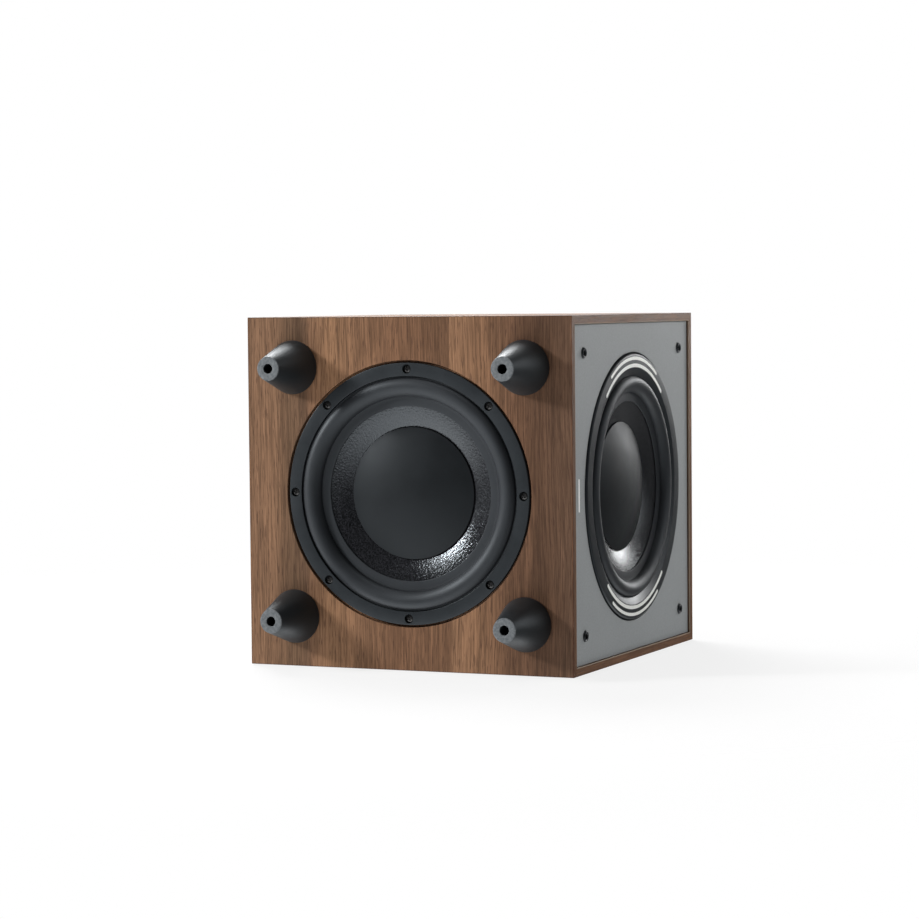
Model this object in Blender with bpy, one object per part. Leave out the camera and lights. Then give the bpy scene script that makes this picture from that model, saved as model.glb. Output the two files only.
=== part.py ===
"""A powered subwoofer: a cube cabinet on four cone feet, with a woofer in the front baffle,
a passive radiator in the underside and an amplifier panel in the back.

Metres, +Z up, -Y the front. The origin is on the floor, under the middle of the cabinet.
Outlines of turned pieces are (radius, height) pairs in millimetres, measured from the face
that the driver or fitting is let into, with height positive outwards.
"""

import math

import bmesh
import bpy
from mathutils import Matrix, Vector

MM = 0.001
MERGE = 1e-6
SMOOTH_ANGLE = math.radians(32)
FINE = 32
COARSE = 20
SMALL = 14
TINY = 8

# Cabinet
CABINET = 0.290
HALF = CABINET / 2
FOOT_HEIGHT = 0.045
CENTRE_Z = FOOT_HEIGHT + HALF
WALL = 0.015
LIP = 0.007
GAP = 0.0003
MITRE_GAP = 0.00015
FRONT_RECESS = 0.002
FRONT_FACE = -HALF + FRONT_RECESS
BAFFLE_THICKNESS = 0.015
BAFFLE_REVEAL = 0.001
BACK_RECESS = 0.012
BACK_FACE = HALF - BACK_RECESS
BACK_THICKNESS = 0.012
CUTOUT_X = 0.073
CUTOUT_Z = 0.098
INSIDE = HALF - WALL - GAP
BRACE_FRONT = 0.020
BRACE_BACK = 0.032
BRACE_LEG = 0.021
BRACE_CROWN = 0.024
PAD_THICKNESS = 0.010
PAD_Y = (-0.080, 0.015)
PAD_RISE = (-0.060, 0.115)

# Drivers, in millimetres
FLANGE_RADIUS = 109.0
DRIVER_HOLE = 98.5
SCREW_CIRCLE = 102.3
SCREW_COUNT = 8
TRIM_RADIUS = 111.8
TRIM_INNER = 93.5
TRIM_RECESS = 113.2
LANDING_RADIUS = 71.8
LANDING_HEIGHT = -4.9
CONE_EDGE = 79.2
ROLL_INNER = 79.6
ROLL_INNER_HEIGHT = -4.5
ROLL_OUTER_HEIGHT = -2.5
ROLL_BULGE = 6.3
SURROUND_THICKNESS = 0.8
SURROUND_LIP = 96.2
CAP_RADIUS = 54.4
CAP_EDGE_HEIGHT = -11.7
CAP_RISE = 8.8
CONE_THICKNESS = 1.2
COIL_RADIUS = 24.6
TUBE_RADIUS = 25.0

# Feet and sockets
FOOT_SPACING = 0.1035
FOOT_BASE = 22.5
FOOT_TIP = 9.75
FOOT_BORE = 4.0
FOOT_SEAT = 33.0
SOCKET_SPACING = 0.1146

# Amplifier panel
PLATE_X = 0.085
PLATE_Z = 0.110
PLATE_THICKNESS = 0.0025
PLATE_BACK = BACK_FACE + GAP
PLATE_FACE = PLATE_BACK + PLATE_THICKNESS
CONTROLS_Z = 0.268
JACKS_Z = 0.228
MAINS_Z = 0.103
VOLUME_X = 0.045
CROSSOVER_X = 0.005
SWITCH_X = -0.045
JACK_XS = (0.052, 0.030)
LED_X = 0.068
LED_Z = 0.280
INLET_X = -0.040
ROCKER_X = 0.040
ROCKER_TILT = math.radians(8)
BOARD_FRONT = 0.108
BOARD_BACK = 0.1096
BOARD_HALF_X = 0.066
BOARD_Z = (0.205, 0.284)
POT_FACE = 0.1222
SWITCH_FACE = 0.1277
SINK_HALF_X = 0.055
SINK_Z = (0.140, 0.205)
TRANSFORMER_Z = 0.158
BEZEL = 0.0022
LEVER_TRAVEL = 0.006

# How far joined solids overlap, and how far a cutter stands past what it cuts
JOIN = 0.001
CLEAR = 0.003


def clear_scene():
    for item in list(bpy.data.objects):
        bpy.data.objects.remove(item)


def material(name, colour, roughness, metallic=0.0):
    made = bpy.data.materials.new(name)
    made.use_nodes = True
    shader = made.node_tree.nodes["Principled BSDF"]
    shader.inputs["Base Color"].default_value = (*colour, 1)
    shader.inputs["Roughness"].default_value = roughness
    shader.inputs["Metallic"].default_value = metallic
    return made


def axis_empty(name, matrix):
    """An empty whose local +Z is the outward axis of what is parented to it."""
    empty = bpy.data.objects.new(name, None)
    empty.matrix_world = matrix
    bpy.context.scene.collection.objects.link(empty)
    return empty


def add(name, bm, finish=None, parent=None, place=None):
    """Makes the object from its bmesh, with the origin at place, in the parent's space."""
    mesh = bpy.data.meshes.new(name)
    bm.to_mesh(mesh)
    bm.free()
    mesh.shade_smooth()
    mesh.set_sharp_from_angle(angle=SMOOTH_ANGLE)
    if finish:
        mesh.materials.append(finish)
    made = bpy.data.objects.new(name, mesh)
    made.parent = parent
    if place:
        made.matrix_basis = place
    bpy.context.scene.collection.objects.link(made)
    return made


def turned(outline, steps):
    """A closed surface of revolution about Z. An outline that starts on the axis ends on it too."""
    bm = bmesh.new()
    points = [bm.verts.new((radius * MM, 0, height * MM)) for radius, height in outline]
    edges = [bm.edges.new(pair) for pair in zip(points, points[1:])]
    if outline[0][0] > 0:
        edges.append(bm.edges.new((points[-1], points[0])))
    bmesh.ops.spin(
        bm,
        geom=points + edges,
        cent=(0, 0, 0),
        axis=(0, 0, 1),
        angle=math.tau,
        steps=steps,
        use_merge=True,
    )
    bmesh.ops.remove_doubles(bm, verts=bm.verts, dist=MERGE)
    bmesh.ops.recalc_face_normals(bm, faces=bm.faces)
    return bm


def block(low, high):
    """A box between two corners, in metres."""
    low, high = Vector(low), Vector(high)
    bm = bmesh.new()
    bmesh.ops.create_cube(bm, size=1)
    bmesh.ops.scale(bm, vec=high - low, verts=bm.verts)
    bmesh.ops.translate(bm, vec=(low + high) / 2, verts=bm.verts)
    return bm


def prism(outline, low, high, axis="Y"):
    """A flat outline of (first, second) points, extruded from low to high along the axis."""
    bm = bmesh.new()
    order = {
        "X": lambda a, b, c: (c, a, b),
        "Y": lambda a, b, c: (a, c, b),
        "Z": lambda a, b, c: (a, b, c),
    }[axis]
    face = bm.faces.new([bm.verts.new(order(a, b, low)) for a, b in outline])
    out = bmesh.ops.extrude_face_region(bm, geom=[face])
    moved = [item for item in out["geom"] if isinstance(item, bmesh.types.BMVert)]
    bmesh.ops.translate(bm, vec=order(0, 0, high - low), verts=moved)
    bmesh.ops.recalc_face_normals(bm, faces=bm.faces)
    return bm


def joined(shapes):
    """Several (bmesh, matrix) shapes as one bmesh."""
    whole = bmesh.new()
    for bm, matrix in shapes:
        bmesh.ops.transform(bm, matrix=matrix, verts=bm.verts)
        piece = bpy.data.meshes.new("piece")
        bm.to_mesh(piece)
        bm.free()
        whole.from_mesh(piece)
        bpy.data.meshes.remove(piece)
    return whole


def boolean(target, name, bm, operation, parent=None):
    """Cuts or joins a hidden helper shape."""
    helper = add(name, bm, parent=parent)
    helper.hide_render = True
    helper.display_type = "WIRE"
    modifier = target.modifiers.new(name, "BOOLEAN")
    modifier.operation = operation
    modifier.object = helper
    modifier.solver = "EXACT"


def at(x, y, z):
    return Matrix.Translation((x, y, z))


def circle_places(radius, count):
    """Places evenly round a circle, starting on +X."""
    return [
        at(radius * math.cos(turn), radius * math.sin(turn), 0)
        for turn in (math.tau * i / count for i in range(count))
    ]


def corner_places(spacing_x, spacing_y, z):
    """The four (name, place) pairs of a rectangle about the axis."""
    return [
        (f"{fore}_{side}", at(x * spacing_x, y * spacing_y, z))
        for fore, y in (("front", -1), ("rear", 1))
        for side, x in (("left", -1), ("right", 1))
    ]


# Cabinet


def wall_panel(name, turn, finish):
    """One of the four mitred walls, rebated inside at the front and the back."""
    front_shelf = FRONT_FACE + BAFFLE_THICKNESS + GAP
    back_shelf = BACK_FACE - BACK_THICKNESS - GAP
    profile = [
        (-HALF, 0),
        (HALF, 0),
        (HALF, LIP),
        (back_shelf, LIP),
        (back_shelf, WALL),
        (front_shelf, WALL),
        (front_shelf, LIP),
        (-HALF, LIP),
    ]
    bm = bmesh.new()
    ends = [
        [
            bm.verts.new((side * (HALF - depth - MITRE_GAP), y, -HALF + depth))
            for y, depth in profile
        ]
        for side in (-1, 1)
    ]
    for end in ends:
        bm.faces.new(end)
    for i in range(len(profile)):
        j = (i + 1) % len(profile)
        bm.faces.new((ends[0][i], ends[0][j], ends[1][j], ends[1][i]))
    bmesh.ops.recalc_face_normals(bm, faces=bm.faces)
    return add(name, bm, finish, place=at(0, 0, CENTRE_Z) @ Matrix.Rotation(turn, 4, "Y"))


def screw_pilot():
    return turned([(0, -1), (2.1, -1), (2.1, -14), (0, -14)], TINY)


def foot_pilot():
    return turned([(0, 1), (2.5, 1), (2.5, -12.5), (0, -12.5)], TINY)


def driver_opening(recess_radius, recess_depth):
    """The stepped hole that a driver's flange sits in, cut right through a wall."""
    return turned(
        [
            (0, 1),
            (recess_radius, 1),
            (recess_radius, -recess_depth),
            (DRIVER_HOLE, -recess_depth),
            (DRIVER_HOLE, -16),
            (0, -16),
        ],
        FINE,
    )


def build_cabinet(radiator_axis, woofer_axis):
    walnut = material("walnut_veneer", (0.21, 0.115, 0.068), 0.5)
    grey_paint = material("grey_paint", (0.205, 0.22, 0.228), 0.55)
    black_paint = material("black_paint", (0.02, 0.02, 0.022), 0.6)
    bare_board = material("fibreboard", (0.33, 0.22, 0.13), 0.8)
    bottom = wall_panel("bottom_panel", 0, walnut)
    wall_panel("left_panel", math.pi / 2, walnut)
    wall_panel("top_panel", math.pi, walnut)
    wall_panel("right_panel", -math.pi / 2, walnut)
    opening = driver_opening(FLANGE_RADIUS + 0.5, 4.0)
    boolean(bottom, "radiator_opening", opening, "DIFFERENCE", radiator_axis)
    holes = [(screw_pilot(), place) for place in circle_places(SCREW_CIRCLE * MM, SCREW_COUNT)]
    holes += [(foot_pilot(), place) for _, place in corner_places(FOOT_SPACING, FOOT_SPACING, 0)]
    boolean(bottom, "bottom_pilots", joined(holes), "DIFFERENCE", radiator_axis)

    baffle_half = HALF - LIP - BAFFLE_REVEAL
    baffle = add(
        "front_baffle",
        block(
            (-baffle_half, FRONT_FACE, CENTRE_Z - baffle_half),
            (baffle_half, FRONT_FACE + BAFFLE_THICKNESS, CENTRE_Z + baffle_half),
        ),
        grey_paint,
    )
    holes = [(driver_opening(TRIM_RECESS, 4.5), Matrix.Identity(4))]
    socket_hole = [(0, 1), (4.8, 1), (4.8, -12), (0, -12)]
    for _, place in corner_places(SOCKET_SPACING, SOCKET_SPACING, 0):
        holes.append((turned(socket_hole, SMALL), place))
    boolean(baffle, "baffle_holes", joined(holes), "DIFFERENCE", woofer_axis)

    back_half = HALF - LIP - BAFFLE_REVEAL / 2
    back = add(
        "back_panel",
        block(
            (-back_half, BACK_FACE - BACK_THICKNESS, CENTRE_Z - back_half),
            (back_half, BACK_FACE, CENTRE_Z + back_half),
        ),
        black_paint,
    )
    opening = block(
        (-CUTOUT_X, BACK_FACE - BACK_THICKNESS - CLEAR, CENTRE_Z - CUTOUT_Z),
        (CUTOUT_X, BACK_FACE + CLEAR, CENTRE_Z + CUTOUT_Z),
    )
    boolean(back, "amp_cutout", opening, "DIFFERENCE")
    build_brace(bare_board)
    build_damping()


def build_brace(finish):
    """An arch of board behind the woofer, open below to clear the radiator."""
    foot_z = CENTRE_Z - INSIDE
    head_z = CENTRE_Z + INSIDE
    arch = [
        (-INSIDE, foot_z),
        (-INSIDE, head_z),
        (INSIDE, head_z),
        (INSIDE, foot_z),
        (INSIDE - BRACE_LEG, foot_z),
        (INSIDE - BRACE_LEG, head_z - BRACE_CROWN),
        (-INSIDE + BRACE_LEG, head_z - BRACE_CROWN),
        (-INSIDE + BRACE_LEG, foot_z),
    ]
    add("brace", prism(arch, BRACE_FRONT, BRACE_BACK), finish)


def build_damping():
    """Felt pads stuck to the side walls, in front of the brace."""
    felt = material("damping_felt", (0.30, 0.30, 0.29), 0.95)
    for side, sign in (("left", -1), ("right", 1)):
        near, far = sorted((sign * (INSIDE - PAD_THICKNESS), sign * INSIDE))
        low = (near, PAD_Y[0], CENTRE_Z + PAD_RISE[0])
        high = (far, PAD_Y[1], CENTRE_Z + PAD_RISE[1])
        add(f"damping_pad_{side}", block(low, high), felt)


# Drivers


def roll_outline(outer_radius, steps=6):
    """The rubber half roll with its two glued lips, as one closed outline."""
    centre = (outer_radius + ROLL_INNER) / 2
    half_width = (outer_radius - ROLL_INNER) / 2
    middle = (ROLL_OUTER_HEIGHT + ROLL_INNER_HEIGHT) / 2
    slant = (ROLL_OUTER_HEIGHT - ROLL_INNER_HEIGHT) / 2

    def arc(width, drop):
        turns = [math.pi * i / steps for i in range(steps + 1)]
        return [
            (
                centre + width * math.cos(turn),
                middle - drop + slant * math.cos(turn) + ROLL_BULGE * math.sin(turn),
            )
            for turn in turns
        ]

    thick = SURROUND_THICKNESS
    top = arc(half_width, 0)
    under = arc(half_width - thick, thick)
    lip_top = [(SURROUND_LIP, ROLL_OUTER_HEIGHT)]
    landing = [(LANDING_RADIUS, LANDING_HEIGHT), (LANDING_RADIUS, LANDING_HEIGHT - thick)]
    lip_under = [(SURROUND_LIP, ROLL_OUTER_HEIGHT - thick)]
    return lip_top + top + landing + under[::-1] + lip_under


def cone_sheets(neck_radius, neck_height):
    """The cone's two surfaces, the outer and the inner, from its glued rim to its neck."""
    rim_height = LANDING_HEIGHT - SURROUND_THICKNESS - 0.3
    outer = [
        (CONE_EDGE, rim_height + 0.3),
        (LANDING_RADIUS, rim_height),
        (CAP_RADIUS + 0.3, CAP_EDGE_HEIGHT - 1.1),
        (neck_radius, neck_height),
    ]
    return outer, [(radius, height - CONE_THICKNESS) for radius, height in outer]


def cap_outline(steps=5):
    """A shallow dome whose rim stands just clear of the cone."""
    top = []
    for i in range(steps + 1):
        share = i / steps
        top.append((CAP_RADIUS * share, CAP_EDGE_HEIGHT + CAP_RISE * (1 - share**2)))
    under = [(radius, height - 0.8) for radius, height in top]
    return top + under[::-1]


def spider_outline(inner, outer, shelf_height, waves):
    """The corrugated disc that centres the moving parts, glued at its outer lip."""
    thick = 0.8
    count = waves * 2
    run = [(outer + 7.0, 0.0), (outer, 0.0)]
    for i in range(1, count):
        run.append((outer + (inner - outer) * i / count, 2.4 * (1 if i % 2 else -1)))
    run.append((inner, 0.0))
    middle = shelf_height + 0.3 + thick / 2
    top = [(radius, middle + lift + thick / 2) for radius, lift in run]
    under = [(radius, middle + lift - thick / 2) for radius, lift in run]
    return top + under[::-1]


def basket_outline(flange_top, flange_under, body):
    """The flange and the ledge that the surround is glued to, round the basket's own body."""
    rim = [(FLANGE_RADIUS, flange_top), (FLANGE_RADIUS, flange_under), (98.0, flange_under)]
    ledge = [(95.4, -5.2), (92.8, -5.2), (92.8, -3.6), (96.5, -3.6), (96.5, flange_top)]
    return rim + body + ledge


def windows(inner, outer, low, high, count, width):
    """Cutters for the openings between a basket's legs."""
    shape = block((inner * MM, -width * MM / 2, low * MM), (outer * MM, width * MM / 2, high * MM))
    mesh = bpy.data.meshes.new("window")
    shape.to_mesh(mesh)
    shape.free()
    shapes = []
    for i in range(count):
        copy = bmesh.new()
        copy.from_mesh(mesh)
        shapes.append((copy, Matrix.Rotation(math.tau * (i + 0.5) / count, 4, "Z")))
    bpy.data.meshes.remove(mesh)
    return joined(shapes)


def build_woofer(axis):
    steel = material("basket_steel", (0.03, 0.03, 0.032), 0.5, 0.6)
    trim = material("trim_plastic", (0.042, 0.047, 0.052), 0.5)
    rubber = material("surround_rubber", (0.035, 0.037, 0.040), 0.45)
    paper = material("cone_paper", (0.025, 0.025, 0.027), 0.35)
    cap = material("cap_plastic", (0.035, 0.039, 0.043), 0.6)
    cloth = material("spider_cloth", (0.28, 0.17, 0.05), 0.9)
    ferrite = material("ferrite", (0.05, 0.05, 0.055), 0.7, 0.2)
    zinc = material("zinc_steel", (0.55, 0.55, 0.50), 0.35, 0.9)
    coil_finish = material("coil_copper", (0.45, 0.20, 0.09), 0.4, 0.7)

    body = [
        (97.0, -17.0),
        (71.0, -46.0),
        (64.0, -46.0),
        (64.0, -62.0),
        (30.0, -62.0),
        (30.0, -60.0),
        (62.0, -60.0),
        (62.0, -44.0),
        (69.8, -44.0),
        (95.0, -15.9),
    ]
    basket = add("woofer_basket", turned(basket_outline(-2.2, -4.2, body), FINE), steel, axis)
    boolean(basket, "woofer_windows", windows(66, 105, -40, -22, 6, 55), "DIFFERENCE", axis)
    face = [
        (TRIM_RADIUS, -0.6),
        (TRIM_RADIUS, -4.2),
        (FLANGE_RADIUS + 0.4, -4.2),
        (FLANGE_RADIUS + 0.4, -1.9),
        (TRIM_INNER, -1.9),
        (TRIM_INNER, -1.1),
        (TRIM_INNER + 0.7, -0.9),
        (100.4, -0.3),
        (TRIM_RADIUS - 0.5, -0.3),
    ]
    add("woofer_trim_ring", turned(face, FINE), trim, axis)
    add("woofer_surround", turned(roll_outline(TRIM_INNER - 0.4), FINE), rubber, axis)
    spider = spider_outline(COIL_RADIUS + 1.3, 62.3, -44.0, 3)
    add("woofer_spider", turned(spider, COARSE), cloth, axis)

    travel = axis_empty("woofer_travel", axis.matrix_world)
    outer, inner = cone_sheets(25.9, -27.0)
    add("woofer_cone", turned(outer + inner[::-1], FINE), paper, travel)
    add("woofer_dust_cap", turned(cap_outline(), FINE), cap, travel)
    coil = [
        (COIL_RADIUS, -24.6),
        (COIL_RADIUS + 0.8, -24.6),
        (COIL_RADIUS + 0.8, -58.0),
        (COIL_RADIUS + 1.4, -58.0),
        (COIL_RADIUS + 1.4, -74.0),
        (COIL_RADIUS, -74.0),
    ]
    add("woofer_voice_coil", turned(coil, COARSE), coil_finish, travel)

    top_plate = [(27.2, -62.3), (52.0, -62.3), (52.0, -70.3), (27.2, -70.3)]
    add("woofer_top_plate", turned(top_plate, COARSE), zinc, axis)
    magnet = [(32.0, -70.6), (58.0, -70.6), (58.0, -90.6), (32.0, -90.6)]
    add("woofer_magnet", turned(magnet, COARSE), ferrite, axis)
    yoke = [(8, -62.6), (23.4, -62.6), (23.4, -90.9), (52, -90.9), (52, -98.9), (8, -98.9)]
    add("woofer_yoke", turned(yoke, COARSE), zinc, axis)


def build_radiator(axis):
    frame_finish = material("frame_plastic", (0.045, 0.049, 0.054), 0.55)
    rubber = material("radiator_rubber", (0.036, 0.038, 0.041), 0.42)
    paper = material("radiator_paper", (0.028, 0.027, 0.028), 0.30)
    cap = material("radiator_cap_plastic", (0.036, 0.041, 0.045), 0.6)
    cloth = material("radiator_spider_cloth", (0.28, 0.17, 0.05), 0.9)
    weight_steel = material("weight_steel", (0.5, 0.5, 0.5), 0.4, 1.0)
    screw_black = material("screw_black", (0.012, 0.012, 0.013), 0.4, 0.6)

    body = [
        (97.0, -17.0),
        (64.0, -40.0),
        (44.0, -40.0),
        (44.0, -38.0),
        (62.5, -38.0),
        (95.0, -15.7),
    ]
    frame = add("radiator_frame", turned(basket_outline(0.0, -3.7, body), FINE), frame_finish, axis)
    counterbore = [(0, 1), (3.9, 1), (3.9, -2.3), (2.3, -2.3), (2.3, -5), (0, -5)]
    holes = [
        (turned(counterbore, TINY), place)
        for place in circle_places(SCREW_CIRCLE * MM, SCREW_COUNT)
    ]
    boolean(frame, "frame_screw_holes", joined(holes), "DIFFERENCE", axis)
    boolean(frame, "frame_windows", windows(66, 105, -33, -21, 6, 55), "DIFFERENCE", axis)
    head = [(0, -1.3), (1.2, -1.3), (1.5, -0.5), (3.4, -0.5), (3.4, -2.0)]
    screw = head + [(1.8, -2.0), (1.8, -13), (0, -13)]
    for number, place in enumerate(circle_places(SCREW_CIRCLE * MM, SCREW_COUNT), start=1):
        add(f"radiator_screw_{number}", turned(screw, TINY), screw_black, axis, place)
    add("radiator_surround", turned(roll_outline(95.0), FINE), rubber, axis)
    add("radiator_spider", turned(spider_outline(26.4, 46.3, -38.0, 2), COARSE), cloth, axis)

    travel = axis_empty("radiator_travel", axis.matrix_world)
    outer, inner = cone_sheets(TUBE_RADIUS, -27.4)
    inner[-1] = (TUBE_RADIUS + 1.0, inner[-1][1])
    tube = [(TUBE_RADIUS, -38.0), (TUBE_RADIUS + 1.0, -38.0)]
    add("radiator_cone", turned(outer + tube + inner[::-1], FINE), paper, travel)
    add("radiator_dust_cap", turned(cap_outline(), FINE), cap, travel)
    weight = [(0, -30), (TUBE_RADIUS - 0.3, -30), (TUBE_RADIUS - 0.3, -38), (0, -38)]
    add("radiator_weight", turned(weight, COARSE), weight_steel, travel)


# Feet and sockets


def build_feet():
    plastic = material("foot_plastic", (0.018, 0.019, 0.021), 0.35)
    steel = material("foot_screw_steel", (0.03, 0.03, 0.03), 0.4, 0.8)
    height = FOOT_HEIGHT / MM - 0.3
    cone = [
        (FOOT_BORE, 0),
        (FOOT_TIP, 0),
        (FOOT_BASE, height),
        (2.6, height),
        (2.6, FOOT_SEAT),
        (FOOT_BORE, FOOT_SEAT),
    ]
    head = FOOT_SEAT - 0.3
    screw = [
        (0, head - 1.4),
        (1.6, head - 1.4),
        (1.6, head - 2.6),
        (3.6, head - 2.6),
        (3.6, head),
        (2.1, head),
        (2.1, height + 11),
        (0, height + 11),
    ]
    for corner, place in corner_places(FOOT_SPACING, FOOT_SPACING, 0):
        add(f"foot_{corner}", turned(cone, COARSE), plastic, place=place)
        add(f"foot_screw_{corner}", turned(screw, TINY), steel, place=place)


def build_sockets(woofer_axis):
    rubber = material("socket_rubber", (0.014, 0.014, 0.015), 0.5)
    bore = [(0, -8.5), (2.4, -8.5)]
    outline = bore + [(2.4, 0.1), (4.2, 0.3), (4.5, 0.0), (4.5, -11.5), (0, -11.5)]
    for corner, place in corner_places(SOCKET_SPACING, SOCKET_SPACING, 0):
        name = corner.replace("front", "lower").replace("rear", "upper")
        add(f"grille_socket_{name}", turned(outline, SMALL), rubber, woofer_axis, place)


# Amplifier


def facing_back(x, z, y=PLATE_FACE):
    """A place on the amplifier panel whose local +Z points out of the back."""
    return at(x, y, z) @ Matrix.Rotation(-math.pi / 2, 4, "X")


def plate_holes():
    """Cutters for everything that passes through the amplifier panel, in its own space."""

    def hole(x, z, radius):
        shape = turned([(0, 2), (radius, 2), (radius, -5), (0, -5)], SMALL)
        return shape, facing_back(x, z)

    def slot(x, z, half_x, half_z):
        low = (x - half_x, PLATE_BACK - CLEAR, z - half_z)
        high = (x + half_x, PLATE_FACE + CLEAR, z + half_z)
        return block(low, high), Matrix.Identity(4)

    round_holes = [(x, CONTROLS_Z, 3.5) for x in (VOLUME_X, CROSSOVER_X)]
    round_holes.append((LED_X, LED_Z, 2.8))
    round_holes += [(x, JACKS_Z, 5.0) for x in JACK_XS]
    slots = [
        (SWITCH_X, CONTROLS_Z, 0.0058, 0.0024),
        (SWITCH_X, JACKS_Z, 0.0058, 0.0024),
        (INLET_X, MAINS_Z, 0.0139, 0.0104),
        (ROCKER_X, MAINS_Z, 0.0064, 0.0094),
    ]
    return joined([hole(*item) for item in round_holes] + [slot(*item) for item in slots])


def build_amplifier():
    black_plate = material("amp_plate_black", (0.018, 0.018, 0.019), 0.45, 0.5)
    sink_finish = material("heatsink_anodised", (0.015, 0.015, 0.016), 0.4, 0.8)
    board_green = material("circuit_board", (0.01, 0.09, 0.03), 0.5)
    wound = material("transformer_tape", (0.55, 0.38, 0.06), 0.45)
    plate = add(
        "amp_plate",
        block(
            (-PLATE_X, PLATE_BACK, CENTRE_Z - PLATE_Z),
            (PLATE_X, PLATE_FACE, CENTRE_Z + PLATE_Z),
        ),
        black_plate,
    )
    boolean(plate, "plate_holes", plate_holes(), "DIFFERENCE")

    add("amp_heatsink", heatsink_shape(), sink_finish)

    low_z, high_z = BOARD_Z
    sheet = block((-BOARD_HALF_X, BOARD_FRONT, low_z), (BOARD_HALF_X, BOARD_BACK, high_z))
    board = add("amp_board", sheet, board_green)
    boolean(board, "board_parts", board_parts(), "UNION")
    bore = [(0, 2), (3.4, 2), (3.4, -12), (0, -12)]
    bores = [
        (turned(bore, TINY), facing_back(x, CONTROLS_Z, POT_FACE))
        for x in (VOLUME_X, CROSSOVER_X)
    ]
    boolean(board, "pot_bores", joined(bores), "DIFFERENCE")

    rim = [(31, -0.5), (36, -6), (36, -30), (31, -36)]
    toroid = [(14, -0.5)] + rim + [(14, -36), (11, -30), (11, -6)]
    place = facing_back(0.0, TRANSFORMER_Z, PLATE_BACK)
    add("transformer", turned(toroid, COARSE), wound, place=place)


def heatsink_shape():
    """A base with upright fins, as one comb outline."""
    half_width = SINK_HALF_X
    base = PLATE_FACE + GAP
    root = base + 0.0025
    tip = base + 0.0085
    fins = 11
    fin = 0.002
    pitch = (2 * half_width - fin) / (fins - 1)
    outline = [(-half_width, base)]
    for i in range(fins):
        left = -half_width + i * pitch
        if i:
            outline.append((left, root))
        outline += [(left, tip), (left + fin, tip)]
        if i < fins - 1:
            outline.append((left + fin, root))
    outline.append((half_width, base))
    return prism(outline, *SINK_Z, axis="Z")


def board_parts():
    """Two potentiometers, two switch bodies and the main parts on the circuit board."""
    pot = 0.008
    switch_x = 0.0072
    switch_z = 0.004

    def body(x, z, half_x, half_z, end):
        low = (x - half_x, BOARD_BACK - JOIN, z - half_z)
        return block(low, (x + half_x, end, z + half_z))

    shapes = [body(x, CONTROLS_Z, pot, pot, POT_FACE) for x in (VOLUME_X, CROSSOVER_X)]
    shapes += [body(SWITCH_X, z, switch_x, switch_z, SWITCH_FACE) for z in (CONTROLS_Z, JACKS_Z)]
    parts = [(shape, Matrix.Identity(4)) for shape in shapes]
    capacitor = [(0, -1), (8.0, -1), (8.0, 24), (0, 24)]
    face_front = Matrix.Rotation(math.pi / 2, 4, "X")
    for x in (-0.040, -0.018):
        parts.append((turned(capacitor, TINY), at(x, BOARD_FRONT, 0.235) @ face_front))
    return joined(parts)


def build_controls():
    knob_finish = material("knob_plastic", (0.02, 0.02, 0.021), 0.4)
    switch_finish = material("switch_plastic", (0.03, 0.03, 0.03), 0.45)
    rocker_finish = material("rocker_plastic", (0.015, 0.015, 0.016), 0.35)
    nickel = material("jack_nickel", (0.7, 0.68, 0.62), 0.25, 1.0)
    lens = material("led_lens", (0.1, 0.35, 0.8), 0.2)

    knob = [(0, 10), (7.2, 10), (8, 9.2), (8.5, 0.8), (8.3, 0.4), (3, 0.4), (3, -18), (0, -18)]
    for name, x in (("volume_knob", VOLUME_X), ("crossover_knob", CROSSOVER_X)):
        made = add(name, turned(knob, SMALL), knob_finish, place=facing_back(x, CONTROLS_Z))
        pointer = block((-0.0006, -0.0090, 0.0095), (0.0006, -0.0030, 0.0110))
        boolean(made, f"{name}_pointer", pointer, "DIFFERENCE", made)

    for name, z in (("phase_switch", CONTROLS_Z), ("mode_switch", JACKS_Z)):
        lever = block((-0.0022, SWITCH_FACE + GAP - PLATE_FACE, -0.0020), (0.0022, 0.0046, 0.0020))
        place = at(SWITCH_X - LEVER_TRAVEL / 2, PLATE_FACE, z)
        add(name, lever, switch_finish, place=place)

    for name, x in zip(("rca_jack_left", "rca_jack_right"), JACK_XS):
        jack = [
            (0, -1.0),
            (1.7, -1.0),
            (1.7, 7.6),
            (4.1, 7.6),
            (4.1, 1.6),
            (6.4, 1.6),
            (6.4, 0.3),
            (4.6, 0.3),
            (4.6, -8.0),
            (0, -8.0),
        ]
        add(name, turned(jack, SMALL), nickel, place=facing_back(x, JACKS_Z))

    led = [(0, 2.6), (1.4, 2.2), (2.4, 0.9), (2.4, -6), (0, -6)]
    add("status_led", turned(led, TINY), lens, place=facing_back(LED_X, LED_Z))
    build_inlet(rocker_finish)
    build_rocker(rocker_finish)


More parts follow.
